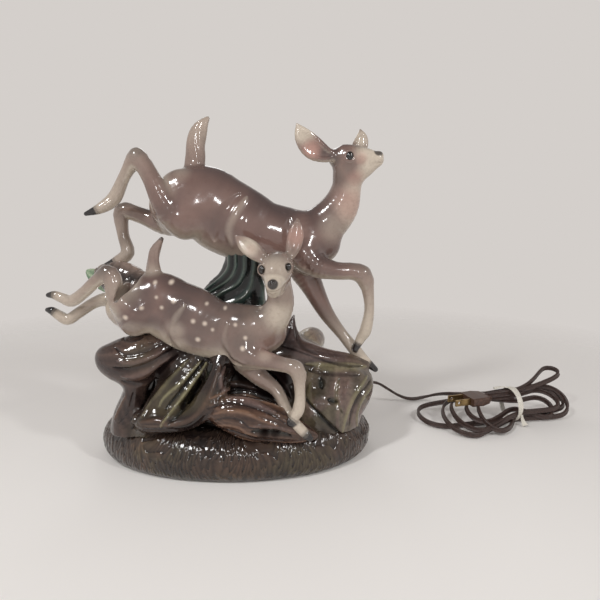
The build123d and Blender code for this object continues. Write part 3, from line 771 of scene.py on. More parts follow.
def coat(skin, limbs, look, folds):
    """The masks of a deer's airbrushed coat and black hooves, its skin's folds and its tail's hair.

    Creases get painted shade, and each raised fold a painted highlight in cream.
    """
    normals = skin.normals()
    count = len(skin.points)
    total, cream, ink, furrow = np.full(count, 1e-9), np.zeros(count), np.zeros(count), np.zeros(count)
    for name, (rows, start, end, hoof) in limbs.items():
        away, along, turn, length = skin.near(rows)
        weight = np.exp(-np.clip(away + 1, 0, 20) / 1.2)
        total += weight
        cream += weight * (start + (end - start) * step(0.25, 0.9, along / length))
        if hoof:
            horn = length - hoof
            ink = np.maximum(ink, step(horn, horn + 5, along) * step(3, 1, away))
        if name == "tail":
            furrow = np.sin(6 * turn + 0.3 * along) * step(6, 14, along) * step(2, 0.5, away)
    under = step(-0.25, -0.85, normals[:, 2])
    hollow = np.clip(cavities(skin), 0, 0.6)
    back = 0.5 * step(0.1, 0.9, normals[:, 2])
    skin.masks["cream"] = np.clip(cream / total + 0.75 * under + blobs(skin, look["cream"]), 0, 0.92)
    # Painted shade in the creases (hollow) joins the shade rows and the darker back.
    dark = blobs(skin, look["shade"]) + back + 1.2 * hollow
    skin.masks["shade"] = np.clip(dark, 0, 0.9) * (1 - 0.5 * under)
    skin.masks["pink"] = blobs(skin, look["pink"])
    skin.masks["ink"] = np.maximum(ink, blobs(skin, look["ink"]))
    skin.masks["spot"] = np.zeros(count)
    lift = 0.2 * furrow
    # Each raised fold gets a painted highlight in cream along its ridge.
    for wide, high, pale, path in folds:
        mark = stroke(skin, path, wide)
        lift = lift + high * mark
        skin.masks["cream"] = np.maximum(skin.masks["cream"], pale * mark)
    skin.push(lift)


def eyes(name, sockets):
    """Black glazed eyes, each a flattened ball: x, y, z and its half sizes."""
    builder = bmesh.new()
    for x, y, z, wide, deep, high in sockets:
        made = bmesh.ops.create_icosphere(builder, subdivisions=4, radius=1.0)
        for vertex in made["verts"]:
            co = vertex.co.copy()
            vertex.co = put(x + wide * co.x, y + deep * co.y, z + high * co.z * (1 - 0.12 * co.x * co.x))
    mesh = bpy.data.meshes.new(name)
    builder.to_mesh(mesh)
    builder.free()
    mesh.shade_smooth()
    finished(name, mesh, FINISHES["eye"], "deer_glaze", "lamp")


def lids(x, y, z, wide, high):
    """A thin ring of clay round an eye."""
    turns = [math.tau * i / 14 for i in range(15)]
    return [(x + wide * math.cos(t), y, z + high * math.sin(t), 0.6, 0.6) for t in turns]


def nodes_named(start):
    return [name for name in frame["nodes"] if name.startswith(start)]


def doe():
    clay = Clay((-134, -24, 60), (130, 44, 296), 0.75)
    for name, (rows, _, _, _) in DOE.items():
        clay.add(rows, 2.5 if name == "tail" else 5.0)
    for rows in DOE_MUSCLES:
        clay.add(rows, 5.0)
    clay.add([(90, 3, 261.6, 3), (96, 0.6, 261.4, 2.4)], 4.0)
    clay.add([(90, 13, 261.6, 3), (96, 14.6, 261.4, 2.4)], 4.0)
    clay.add(ball(119.6, 2.6, 256.8, 3.2), 2.0)
    for rows in DOE_EARS.values():
        clay.add(rows, 2.0)
    for rows in DOE_CUTS:
        clay.cut(rows, 1.2)
    for x, y, z, wide, _, high in DOE_EYES:
        clay.add(lids(x, y + math.copysign(0.8, y - 5), z, wide + 0.5, high + 0.5), 1.0)
    skin = clay.skin("doe")
    coat(skin, DOE, DOE_LOOK, DOE_FOLDS)
    skin.make(FINISHES["deer"], "deer_glaze", *nodes_named("doe_"))
    eyes("doe_eyes", DOE_EYES)


def fawn():
    clay = Clay((-164, -76, 26), (74, -8, 210), 0.7)
    for name, (rows, _, _, _) in FAWN.items():
        clay.add(rows, 2.5 if name == "tail" else 4.5)
    for rows in FAWN_MUSCLES:
        clay.add(rows, 4.5)
    for rows in FAWN_HEAD:
        clay.add(rows, 3.0, side=(1, 0, 0))
    clay.add(ball(33, -64.8, 155.8, 3.7, 4.4), 1.5)
    for rows in FAWN_EARS.values():
        clay.add(rows, 2.0)
    for rows in FAWN_CUTS:
        clay.cut(rows, 1.2)
    for x, y, z, wide, _, high in FAWN_EYES:
        clay.add(lids(x, y - 0.6, z, wide + 0.4, high + 0.4), 1.0)
    skin = clay.skin("fawn")
    coat(skin, FAWN, FAWN_LOOK, FAWN_FOLDS)
    x, _, z = skin.points.T
    spots = np.zeros(len(x))
    for i, (at, high) in enumerate(SPOTS):
        radius = 1.15 + 0.4 * math.sin(i * 2.4)
        spots = np.maximum(spots, step(radius + 1.5, radius - 1.1, np.hypot(x - at, z - high)))
    skin.masks["spot"] = 0.85 * spots * (np.abs(skin.normals()[:, 1]) > 0.25) * (z > 95)
    skin.make(FINISHES["deer"], "deer_glaze", *nodes_named("fawn_"))
    eyes("fawn_eyes", FAWN_EYES)


# ---------------------------------------------------------------- the rockwork

UP = (1, 0, 0)
ACROSS = (0, 1, 0)
# Each piece: rows, side, softness, its glaze from dark to pale, how many streaks round it, and their twist.
ROCK = {
    "mass": (
        [(-6, 4, 26, 40, 92), (-6, 4, 34, 40, 90), (-4, 6, 54, 36, 86), (-2, 8, 76, 31, 76),
         (0, 10, 92, 22, 56)],
        UP, 3, (18, 14, 14), (36, 28, 27), 16, 0.01,
    ),
    "boulder": (
        [(-54, -20, 97, 13, 14), (-70, -26, 92, 19, 20), (-86, -30, 88, 21, 19), (-98, -33, 89, 15.5, 13),
         (-106, -34, 92, 8.5, 7), (-110, -34, 93, 3, 3)],
        ACROSS, 6, (44, 34, 33), (92, 73, 66), 5, 0.03,
    ),
    "boulder_foot": (
        [(-88, -26, 26, 24, 20), (-89, -27, 38, 20, 16), (-87, -28, 50, 17, 11.5), (-85, -29, 63, 15, 9),
         (-83, -29, 78, 15, 14)],
        UP, 6, (42, 32, 31), (84, 67, 60), 6, 0.05,
    ),
    "bank": (
        [(-34, -22, 94, 13, 9), (-42, -31, 78, 15, 10), (-52, -39, 61, 15, 10), (-64, -45, 44, 13, 9),
         (-72, -46, 34, 8, 7)],
        ACROSS, 8, (32, 25, 22), (56, 46, 38), 5, 0.02,
    ),
    "root": (
        [(-78, -50, 44, 4, 5), (-66, -51, 43, 7, 8), (-46, -52, 44, 8.5, 9), (-28, -50, 51, 9.5, 10),
         (-17, -42, 68, 11, 11), (-10, -30, 88, 12, 12)],
        ACROSS, 7, (24, 18, 17), (46, 35, 32), 5, 0.02,
    ),
    "log": (
        [(-18, -47, 56, 8, 9), (-5, -51, 51, 14, 13), (13, -53, 47, 17, 15), (31, -53, 43, 15, 13.5),
         (49, -52, 36, 9, 9), (64, -51, 31, 4, 4)],
        ACROSS, 5, (48, 34, 31), (98, 72, 58), 10, 0.014,
    ),
    "stump": (
        [(72, -14, 26, 30, 34), (74, -15, 42, 28, 34), (82, -12, 57, 22, 35), (86, -8, 66, 12, 31)],
        UP, 6, (64, 56, 49), (122, 110, 96), 7, 0.02,
    ),
    "branch": (
        [(10, -4, 78, 16, 17), (32, -2, 85, 14, 15), (55, -2, 86.5, 11, 13), (75, -2, 82, 8.5, 11),
         (98, -1, 79, 5.5, 8), (112, 0, 75, 4, 5)],
        ACROSS, 6, (62, 49, 49), (116, 95, 90), 5, 0.015,
    ),
    "spike": (
        [(37, 2, 90, 14, 13), (43, 3, 104, 7.5, 8), (47.5, 4, 119, 1.2, 2)],
        ACROSS, 9, (46, 36, 38), (86, 68, 66), 5, 0.02,
    ),
    "lobe": (
        [(58, 10, 84, 11, 12), (61, 20, 90, 13, 12), (65, 30, 91, 12, 11), (68, 36, 89, 6, 6)],
        ACROSS, 3, (140, 126, 108), (196, 182, 160), 7, 0.02,
    ),
    "wave": (
        [(2, 6, 86, 14, 34), (-6, 7, 112, 13.5, 36), (-10, 8, 128, 12.5, 34), (-6, 10, 141, 12, 28),
         (-1, 11, 151, 12, 21), (1, 12, 162, 12, 17), (3, 13, 176, 12, 17)],
        UP, 4, (9, 15, 17), (66, 88, 82), 0, 0.0,
    ),
    "rear_log": (
        [(-52, 8, 88, 15, 13), (-72, 10, 112, 17, 13), (-90, 12, 134, 19, 13), (-106, 15, 147, 18, 12),
         (-120, 17, 153, 12, 10), (-130, 18, 157, 4, 4)],
        ACROSS, 4, (38, 32, 31), (128, 112, 104), 6, 0.0,
    ),
    "leaf": (
        [(-114, 23, 143, 8, 4), (-126, 26, 146, 10, 3.4), (-137, 29, 151, 8, 2.8), (-143, 31, 154, 5, 2),
         (-147, 32, 156, 1, 1)],
        ACROSS, 2, (84, 122, 92), (190, 202, 172), 6, 0.0,
    ),
}
ROCK_CUTS = [
    [(-6, -46, 84, 4, 8), (10, -42, 76, 10, 18), (26, -38, 72, 10, 19), (44, -40, 62, 7, 14)],
    [(56, -46, 56, 3, 5), (68, -50, 44, 3.6, 6), (80, -52, 33, 3, 6), (88, -54, 27, 2, 4)],
    [(72, -46, 72, 2.2, 4), (73, -47, 66, 2.4, 4)],
    [(77, -47, 56, 2.4, 4), (83, -47, 54, 2.4, 4)],
    [(-64, -62, 28, 5, 8), (-34, -66, 31, 6, 10), (-14, -66, 32, 4, 6)],
    [(-46, -40, 102, 3, 5), (-60, -46, 80, 4, 6), (-68, -52, 64, 4, 6), (-76, -56, 52, 2.4, 4)],
]
# Painted shade in the caves and the gaps between the pieces and under them: soft balls, as blobs() says.
CAVE_SHADE = [
    (10, -30, 78, 10, 20, 0.96), (28, -26, 70, 12, 22, 0.96), (44, -32, 62, 6, 15, 0.9),
    (26, -68, 41, 2, 8, 0.85), (34, -66, 40, 2, 7, 0.75),
    (-56, -58, 30, 4, 12, 0.9), (-34, -60, 31, 4, 12, 0.9), (-16, -58, 32, 3, 10, 0.85),
    (-48, -34, 98, 3, 16, 0.8),
    (-58, -40, 80, 3, 13, 0.75), (-68, -46, 64, 2, 10, 0.7), (42, -14, 94, 3, 12, 0.7),
    (74, -40, 30, 2, 12, 0.6),
]
OLIVE = (142, 136, 104)
MOSS = (98, 91, 66)
TAN = (126, 95, 76)
MAUVE = (112, 91, 86)
UMBER = (36, 27, 27)
GREEN = (20, 27, 23)
# What is brushed and carved into the front: half width, how far out, colour, how much of it, and a path of
# (x, z).
STROKES = [
    (3.2, -1.3, UMBER, 0.6, [(-95, 102), (-85, 97), (-72, 99), (-60, 103), (-50, 106)]),
    (3.4, 1.0, MAUVE, 0.5, [(-92, 93), (-81, 91), (-70, 93), (-58, 98)]),
    (3.6, -1.7, UMBER, 0.7, [(-95, 87), (-82, 85), (-72, 87), (-60, 93), (-47, 102)]),
    (3.2, 1.1, MAUVE, 0.5, [(-89, 80), (-76, 79), (-63, 85), (-52, 93)]),
    (3.4, -1.6, UMBER, 0.7, [(-90, 74), (-77, 72), (-68, 75), (-59, 84), (-47, 94)]),
    (2.0, -1.0, UMBER, 0.7, [(-92, 108), (-82, 107), (-74, 109)]),
    (2.6, -1.0, UMBER, 0.6, [(-82, 64), (-86, 50), (-95, 39)]),
    (2.6, -1.0, UMBER, 0.6, [(-74, 64), (-76, 49), (-83, 36)]),
    (2.6, 0.9, TAN, 0.4, [(-88, 62), (-94, 52), (-99, 41)]),
    (2.0, 1.5, OLIVE, 0.8, [(-29, 88), (-42, 74), (-55, 63), (-59, 56)]),
    (2.0, 1.5, OLIVE, 0.95, [(-23, 87), (-32, 75), (-41, 63), (-50, 51), (-56, 43)]),
    (2.4, 1.2, MOSS, 0.8, [(-38, 90), (-51, 77), (-59, 67), (-66, 59), (-72, 48)]),
    (2.0, -1.6, GREEN, 0.9, [(-26, 88), (-39, 71), (-54, 54)]),
    (3.4, -2.2, GREEN, 0.95, [(-18, 88), (-28, 71), (-39, 57), (-50, 45)]),
    (3.0, 0.9, TAN, 0.25, [(-73, 45), (-59, 47), (-44, 45), (-29, 51), (-18, 66), (-11, 88)]),
    (2.4, -0.8, UMBER, 0.6, [(-70, 40), (-52, 41), (-36, 40), (-24, 47), (-12, 62), (-5, 80)]),
    (2.2, 0.8, TAN, 0.7, [(-18, 64), (-2, 68), (17, 66), (34, 59), (44, 53)]),
    (1.8, -0.9, UMBER, 0.8, [(-20, 56), (-7, 62), (10, 62), (28, 56), (42, 47)]),
    (2.2, 0.7, TAN, 0.7, [(-15, 53), (-4, 57), (10, 57), (24, 51), (36, 46)]),
    (1.6, -0.9, UMBER, 0.8, [(-14, 48), (-3, 52), (7, 51), (14, 46), (22, 44)]),
    (2.0, 0.6, TAN, 0.7, [(-13, 43), (-2, 46), (6, 45), (12, 41), (20, 38)]),
    (1.6, -0.9, UMBER, 0.8, [(-11, 39), (0, 41), (9, 38), (22, 34), (40, 32)]),
    (1.8, 0.6, TAN, 0.6, [(-6, 35), (6, 34), (22, 30), (44, 29), (60, 30)]),
    (3.4, -1.6, GREEN, 0.95, [(16, 42), (24, 42), (36, 40), (46, 36)]),
    (1.5, 0.7, MAUVE, 0.7, [(14, 46), (24, 47), (38, 44), (50, 39)]),
    (2.6, 1.4, MAUVE, 0.7, [(-8, 86), (-10, 76), (-6, 67), (6, 65), (20, 61), (34, 55)]),
    (2.2, 1.2, MAUVE, 0.6, [(18, 82), (30, 74), (40, 64), (46, 54)]),
    (3.4, 0.9, OLIVE, 0.6, [(58, 80), (74, 79), (96, 78), (112, 75)]),
    (2.0, -0.9, UMBER, 0.6, [(60, 75), (74, 75), (90, 74), (104, 72)]),
    (4.2, -2.2, GREEN, 0.9, [(70, 72), (71, 65)]),
    (4.4, -2.4, GREEN, 0.95, [(76, 57), (84, 55)]),
    (3.2, -1.8, GREEN, 0.9, [(58, 56), (69, 45), (80, 34), (88, 26)]),
    (2.4, 1.1, OLIVE, 0.6, [(111, 70), (101, 61), (94, 50), (90, 38), (88, 29)]),
    (2.2, -1.2, UMBER, 0.7, [(114, 66), (104, 58), (97, 47), (94, 34)]),
    (2.4, 1.1, OLIVE, 0.6, [(115, 62), (106, 54), (101, 42), (102, 29)]),
    (2.6, -1.0, MOSS, 0.6, [(86, 72), (83, 58), (88, 46)]),
    (2.4, 0.8, MOSS, 0.7, [(62, 68), (60, 58), (66, 50)]),
    (2.8, 0.9, MAUVE, 0.5, [(94, 70), (90, 60), (84, 46), (84, 34)]),
    (1.6, -0.9, UMBER, 0.7, [(36, 96), (52, 91), (76, 82), (108, 76)]),
    (2.0, -0.8, UMBER, 0.7, [(45, 116), (42, 103), (32, 96)]),
    (2.2, -0.8, UMBER, 0.7, [(49, 108), (53, 96), (68, 88)]),
]
WALL = 5.0
WELL_FRONT = 20.0
WELL_ROOF = (0, 10, 80, 22 - WALL, 56 - WALL)
ROCK_FOOT = 28.5
WAVE_CREST = 165.0


def wave_ridges(skin):
    """Thin ridges that hang from the top of the wave and sweep out to the left as they fall."""
    x, _, z = skin.points.T
    sweep = 0.2 * np.clip(WAVE_CREST - z, 0, 24) ** 1.5 + 0.9 * np.clip(WAVE_CREST - 24 - z, 0, 60)
    place = np.clip(x + sweep * step(28, -30, x), -50, 60)
    phase = 14 * np.log(4 + (place + 50) / 14) + 0.16 * ripple(x * 0.12, z * 0.1, z * 0)
    return (1 - np.abs(np.sin(math.pi * phase))) ** 1.6


def ring_ridges(along, turn):
    """Rings round a log that run together in places."""
    phase = along / 4.6 + 0.5 * np.cos(turn) + 0.2 * ripple(along * 0.1, turn, turn * 0)
    return np.abs(np.sin(math.pi * phase)) ** 1.3


def streaks(along, turn, count, twist, seed):
    """Brushed streaks of glaze along a piece of driftwood, from 0 to 1."""
    place = count * (turn + twist * along / 1.6)
    broad = ripple(0.8 * place + seed, along * 0.035, seed + 0 * along)
    fine = ripple(2.3 * place - seed, along * 0.06 + 1, 2 * np.cos(turn))
    return np.clip(0.45 + 0.4 * broad + 0.3 * fine, 0, 1)


def blend_pieces(skin):
    """How far out, what colour and how much of a crest each point is, from the pieces of rock near it."""
    count = len(skin.points)
    total, depth, crest = np.full(count, 1e-9), np.zeros(count), np.zeros(count)
    tint = np.zeros((count, 4))
    for seed, (name, (rows, side, _, low, high, grooves, twist)) in enumerate(ROCK.items()):
        away, along, turn, _ = skin.near(rows, side)
        if name == "wave":
            pattern, deep = wave_ridges(skin), 1.6
        elif name == "rear_log":
            pattern, deep = ring_ridges(along, turn), 1.0
        else:
            pattern, deep = streaks(along, turn, grooves, twist, seed * 1.7), 0.5
        weight = np.exp(-np.clip(away + 2, 0, 30) / 2.2)
        total += weight
        depth += weight * deep * (pattern - 0.6)
        tint += weight[:, None] * mixed(srgb(*low), srgb(*high), pattern)
        crest += weight * pattern**4
    return depth / total, tint / total[:, None], crest / total


def brushed(skin, depth, tint):
    """The depth and the colour after each stroke is laid over them."""
    x, y, z = skin.points.T
    front = step(20, 4, y)
    for i, (wide, high, colour, much, path) in enumerate(STROKES):
        uneven = 1 + 0.25 * ripple(x * 0.09 + i, z * 0.09, y * 0.05)
        mark = stroke(skin, path, wide * uneven) * front
        depth = depth + high * mark
        tint = mixed(tint, srgb(*colour), much * mark)
    return depth, tint


def flat(level, axis, sign):
    """The distance past a plane across one axis, for shaving clay off it."""
    return lambda x, y, z: sign * ((x, y, z)[axis] - level) + 0 * (x + y + z)


def rockwork():
    clay = Clay((-150, -74, 22), (126, 50, 182), 0.95)
    mass = ROCK["mass"][0]
    clay.add(mass, 1.0, UP)
    clay.shave(flat(WELL_FRONT, 1, 1))
    for name, (rows, side, soft, *_) in ROCK.items():
        if name != "mass":
            clay.add(rows, soft, side)
    hollow_rows = [(x, y, z, thick - WALL, wide - WALL) for x, y, z, thick, wide in mass[:-1]]
    clay.cut([*hollow_rows, WELL_ROOF], 2.0, UP)
    for rows in ROCK_CUTS:
        clay.cut(rows, 3.5)
    clay.shave(flat(ROCK_FOOT, 2, -1))
    skin = clay.skin("rockwork")
    depth, tint, crest = blend_pieces(skin)
    x, y, z = skin.points.T
    moss = 0.35 * step(0.1, 0.6, ripple(x * 0.06, y * 0.08, z * 0.07 + 2)) * step(140, 120, z)
    tint = mixed(tint, srgb(*MOSS), moss)
    bloom = step(0.0, 0.5, ripple(x * 0.11 + 4, y * 0.1, z * 0.13)) * step(50, 64, x)
    tint = mixed(tint, srgb(*MAUVE), 0.6 * bloom)
    lumps = 0.7 * ripple(x * 0.07, y * 0.07, z * 0.07) + 0.35 * ripple(x * 0.16, z * 0.16, y * 0.16)
    depth, tint = brushed(skin, depth + lumps, tint)
    skin.push(depth)
    hollow = cavities(skin, 6)
    skin.masks["tint"] = tint
    skin.masks["crest"] = crest * step(0.1, -0.25, hollow) * 0.7
    # Painted shade: the deep grooves and the cave rows go near black in the hollow mask.
    skin.masks["hollow"] = np.clip(0.8 * step(0.1, 0.9, hollow) + blobs(skin, CAVE_SHADE), 0, 0.94)
    glazed = [name for name, slot in SLOTS.items() if slot in ("rock_glaze", "teal_glaze")]
    skin.make(FINISHES["rock"], "rock_glaze", *(name for name in glazed if name != "plinth"))


# ---------------------------------------------------------------- the plinth

PLINTH_X = -4.0
# Round the outside, from the foot to the middle of the deck: half length, half width, height, how grassy.
PLINTH_OUTSIDE = [
    (113, 66, 0, 0), (116, 69, 2.5, 0.4), (118.5, 71, 8, 1), (119.5, 71.5, 15, 1), (118, 70, 21, 1),
    (114, 66.5, 27, 1), (108, 61, 31.5, 1), (100, 54, 34, 1), (90, 46, 34.5, 1), (76, 36, 33, 0.6),
    (56, 24, 31, 0.2), (30, 12, 30, 0), (0.2, 0.1, 30, 0),
]
# Round the inside, from the middle of the ceiling back down to the foot.
PLINTH_INSIDE = [
    (0.2, 0.1, 25, 0), (60, 30, 25, 0), (104, 58, 24.5, 0), (112, 65, 18, 0), (113, 66, 12, 0),
    (111, 64, 4, 0),
    (108, 61, 0.6, 0), (110, 63, 0, 0),
]
PLINTH_LONG, PLINTH_WIDE = 119.5, 71.5
DECK = 30
ROUND_PLINTH = 1150
TUFT_ROWS = (-3, 6, 14, 23, 32, 41)


def wrapped(rings):
    """The points and quads of a skin through closed rings, with the last ring joined to the first."""
    index = np.arange(rings.shape[0] * rings.shape[1]).reshape(rings.shape[:2])
    beside = np.roll(index, -1, 1)
    quads = np.stack([index, beside, np.roll(beside, -1, 0), np.roll(index, -1, 0)], axis=-1)
    return rings.reshape(-1, 3), quads.reshape(-1, 4)


def even_turns(long, wide, count):
    """Angles round an oval that are the same distance apart along it, and that distance in all."""
    fine = np.linspace(0, math.tau, 4001)
    run = np.cumsum(np.hypot(long * np.diff(np.cos(fine)), wide * np.diff(np.sin(fine))))
    run = np.insert(run, 0, 0)
    return np.interp(np.arange(count) / count * run[-1], run, fine), run[-1]


def grass(across, rise):
    """Overlapping rows of grass blades, each leaning its own way: how far they stand out, 0 to 1."""
    stand, tip_line = np.zeros(across.shape), np.zeros(across.shape)
    for i, root in enumerate(TUFT_ROWS):
        lean = 0.25 * np.sin(across * 0.045 + i * 2.1) + 0.2 * np.sin(across * 0.13 + i)
        place = across + lean * rise + 5 * i
        blade = np.abs(np.cos(math.pi * place / (3.1 + 0.35 * math.sin(i)))) ** 0.8
        tip = 12 + 3.2 * np.sin(place * 0.61 + i) + 2 * np.sin(place * 1.37 + 2 * i)
        height = (rise - root) / tip
        here = (height > 0) & (height < 1)
        lift = np.where(here, height * (0.45 + 0.55 * blade), 0)
        stand = np.maximum(stand, lift)
        tip_line = np.where(here & (lift >= stand), blade, tip_line)
    return stand, tip_line


def plinth():
    turns, length = even_turns(PLINTH_LONG, PLINTH_WIDE, ROUND_PLINTH)
    rows = []
    for table, parts in ((PLINTH_INSIDE, 4), (PLINTH_OUTSIDE, 9)):
        made = smooth_rows([(a, b, z, 1, grassy + 0.4) for a, b, z, grassy in table], parts)
        rows.append(np.column_stack([made[:, :3], made[:, 4] - 0.4]))
    profile = np.vstack(rows)
    rise = np.cumsum(np.insert(np.hypot(np.diff(profile[:, 0]), np.diff(profile[:, 2])), 0, 0))
    rise = rise - rise[len(rows[0])]
    long, wide, high, grassy = (profile[:, i, None] for i in range(4))
    x = PLINTH_X + long * np.cos(turns)
    y = wide * np.sin(turns)
    front = step(30, -20, y)
    z = np.where(high > DECK, DECK + (high - DECK) * front, high) + 0 * x
    skin = Skin("plinth_casting", *wrapped(np.stack([x, y, z], axis=-1)))
    across = np.broadcast_to(np.arange(ROUND_PLINTH) * length / ROUND_PLINTH, x.shape).ravel()
    up = np.broadcast_to(rise[:, None], x.shape).ravel()
    grassy = np.broadcast_to(grassy, x.shape).ravel()
    stand, blade = grass(across, up)
    slump = 1.5 * ripple(across * 0.05, up * 0.08, up * 0)
    skin.push(grassy * (0.8 * stand + slump - 0.3))
    x, y, z = skin.points.T
    olive = ripple(x * 0.05, y * 0.06, z * 0.1) + 0.3 * ripple(across * 0.25, up * 0.2, across * 0.11)
    russet = ripple(x * 0.07 + 2, y * 0.05, z * 0.12)
    bare = ripple(x * 0.08 + 5, y * 0.09, z * 0.2 + 1)
    tint = mixed(srgb(26, 20, 19), srgb(68, 54, 47), 0.15 + 0.75 * stand)
    for colour, amount in (
        ((74, 71, 48), 0.75 * step(0.05, 0.45, olive) * stand),
        ((100, 71, 55), 0.7 * step(0.05, 0.55, russet) * stand),
        ((34, 27, 26), 0.8 * step(0.1, 0.5, bare)),
        ((20, 16, 17), 0.75 * step(25, 32, z) * step(10, -20, y) * step(30, -10, x)),
        # Painted shadow darkening the middle of the plinth's front.
        ((24, 19, 18), 0.45 * step(75, 25, np.abs(x + 6)) * step(0, -30, y)),
    ):
        tint = mixed(tint, srgb(*colour), amount)
    skin.masks["tint"] = tint
    skin.masks["crest"] = 0.35 * stand * blade * grassy
    # Painted shade in the grass grooves, through the hollow mask.
    skin.masks["hollow"] = np.clip(step(0.02, 0.4, cavities(skin, 4)) * 0.8 * grassy, 0, 0.8)
    skin.make(FINISHES["rock"], "rock_glaze", "plinth")


def mixed(first, second, amount):
    """One colour over another by an amount for each point; the first may be a colour for each point."""
    return np.asarray(first) + np.asarray(amount)[:, None] * (np.asarray(second) - np.asarray(first))


# ---------------------------------------------------------------- the lamp holder and the bulb

THREAD_PITCH = 25.4 / 7
SIDES = 96


def turned(name, outline, finish, slot, body, *replaced, smooth=0, thread=None):
    """A piece turned about the lamp holder's axis from a closed outline of (radius, height) points in mm.

    smooth adds points on a curve through the outline. thread is a screw thread's lowest and highest places
    and its depth."""
    line = np.array(outline, float)
    if smooth:
        rows = smooth_rows([(r, 0, z, 1, 1) for r, z in outline], smooth)
        line = rows[:, (0, 2)]
    turns = np.linspace(0, math.tau, SIDES, endpoint=False)
    radius, height = np.broadcast_to(line[:, :1], (len(line), SIDES)).copy(), line[:, 1:]
    if thread:
        low, high, depth = thread
        wave = np.cos(math.tau * height / THREAD_PITCH - turns)
        part = (height > low) & (height < high) & (np.arange(len(line)) < len(line) // 2)[:, None]
        radius -= np.where(part, depth * (0.5 - 0.5 * wave), 0)
    rings = np.stack([radius * np.cos(turns), LAMP_Y + radius * np.sin(turns), height + 0 * turns], axis=-1)
    points, quads = wrapped(rings)
    corners = points[quads]
    facing = np.cross(corners[:, 2] - corners[:, 0], corners[:, 3] - corners[:, 1])
    if (corners.mean(axis=1) * facing).sum() - LAMP_Y * facing[:, 1].sum() < 0:
        quads = quads[:, ::-1]
    mesh = bpy.data.meshes.new(name)
    mesh.from_pydata([put(*point) for point in points], [], quads.tolist())
    mesh.shade_smooth()
    mesh.set_sharp_from_angle(angle=math.radians(40))
    return finished(name, mesh, FINISHES[finish], slot, body, *replaced)


def holder_and_bulb():
    """Turned brass, glass and screw threads in place of the plain solids; the rest keep their shapes."""
    cap_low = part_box("socket_cap")[0].z / MM
    shell_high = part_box("socket_shell")[1].z / MM
    bulb_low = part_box("bulb_cap")[0].z / MM
    bulb_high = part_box("bulb_cap")[1].z / MM
    glass_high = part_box("bulb_glass")[1].z / MM
    turned(
        "holder_shell",
        [(16.6, cap_low + 8), (16.6, cap_low + 30), (17.1, cap_low + 31), (17.1, cap_low + 32.6),
         (16.6, cap_low + 33.6), (16.6, cap_low + 48), (17.1, cap_low + 49), (17.1, cap_low + 51),
         (16.6, cap_low + 52), (16.6, shell_high - 0.6), (16.35, shell_high), (16.1, shell_high - 0.6),
         (16.1, cap_low + 8)],
        "brass", "lamp_brass", "lamp", "socket_shell",
    )
    turned(
        "holder_cap",
        [(5, cap_low), (8, cap_low), (10, cap_low + 0.9), (13, cap_low + 2.8), (15.2, cap_low + 4.6),
         (16.7, cap_low + 6.8), (17.4, cap_low + 8), (17.5, cap_low + 11.4), (17.2, cap_low + 12),
         (16.8, cap_low + 11.6), (16.7, cap_low + 8), (14.6, cap_low + 5), (12.4, cap_low + 3.4),
         (7.8, cap_low + 0.7), (5, cap_low + 0.7)],
        "brass", "lamp_brass", "lamp", "socket_cap",
    )
    rise = np.linspace(bulb_low, bulb_high, 90)
    wall = [(13.2, z) for z in rise] + [(12.35, z) for z in rise[::-3]]
    turned(
        "bulb_screw_cap", wall, "brass", "lamp_brass", "bulb", "bulb_cap",
        thread=(bulb_low + 1, bulb_high - 2.5, 0.7),
    )
    nipple_low, nipple_high = NIPPLE_LOW.z / MM, NIPPLE_HIGH.z / MM
    rise = np.linspace(nipple_low, nipple_high, 80)
    wall = [(4.9, z) for z in rise] + [(3.6, z) for z in rise[::-4]]
    turned(
        "nipple_pipe", wall, "brass", "lamp_brass", "lamp", "threaded_nipple",
        thread=(nipple_low + 0.4, nipple_high - 0.4, 0.35),
    )
    base = bulb_high - 25
    outline = [
        (12.3, base + 9), (12.3, base + 24), (12.6, base + 26.5), (13.8, base + 29.5), (16.0, base + 34),
        (17.3, base + 39.5), (17.0, base + 46), (14.9, base + 51.6), (10.8, base + 56),
    ]
    top = [(5.6, glass_high - 0.7), (0.02, glass_high)]
    inner = [(0.02, glass_high - 0.8), (5.2, glass_high - 1.5)]
    inner += [(radius - 0.8, height - 0.3) for radius, height in reversed(outline)]
    turned(
        "bulb_globe", outline + top + inner, "frosted", "bulb_frosted_glass", "bulb", "bulb_glass", smooth=5
    )


# ---------------------------------------------------------------- the cord, its hank, tie and plug

CORD_WIDTH = 5.2
CORD_THICK = 2.9
# From inside the wall, down to the floor and along it to the hank.
FREE_ROUTE = [
    (80.25, 53.62, 17), (88.75, 68.34, 17), (103, 80, 21), (121, 86, 28), (137, 91, 28), (151, 96, 18),
    (165, 100, 8), (180, 105, 1.8), (195, 104.5, 5), (206, 95, 12), (214, 82, 17.5), (224, 73, 20),
    (244, 66, 23),
]
HANK_START = (176, 40)
HANK_TURN = math.radians(8)
TIE = 95
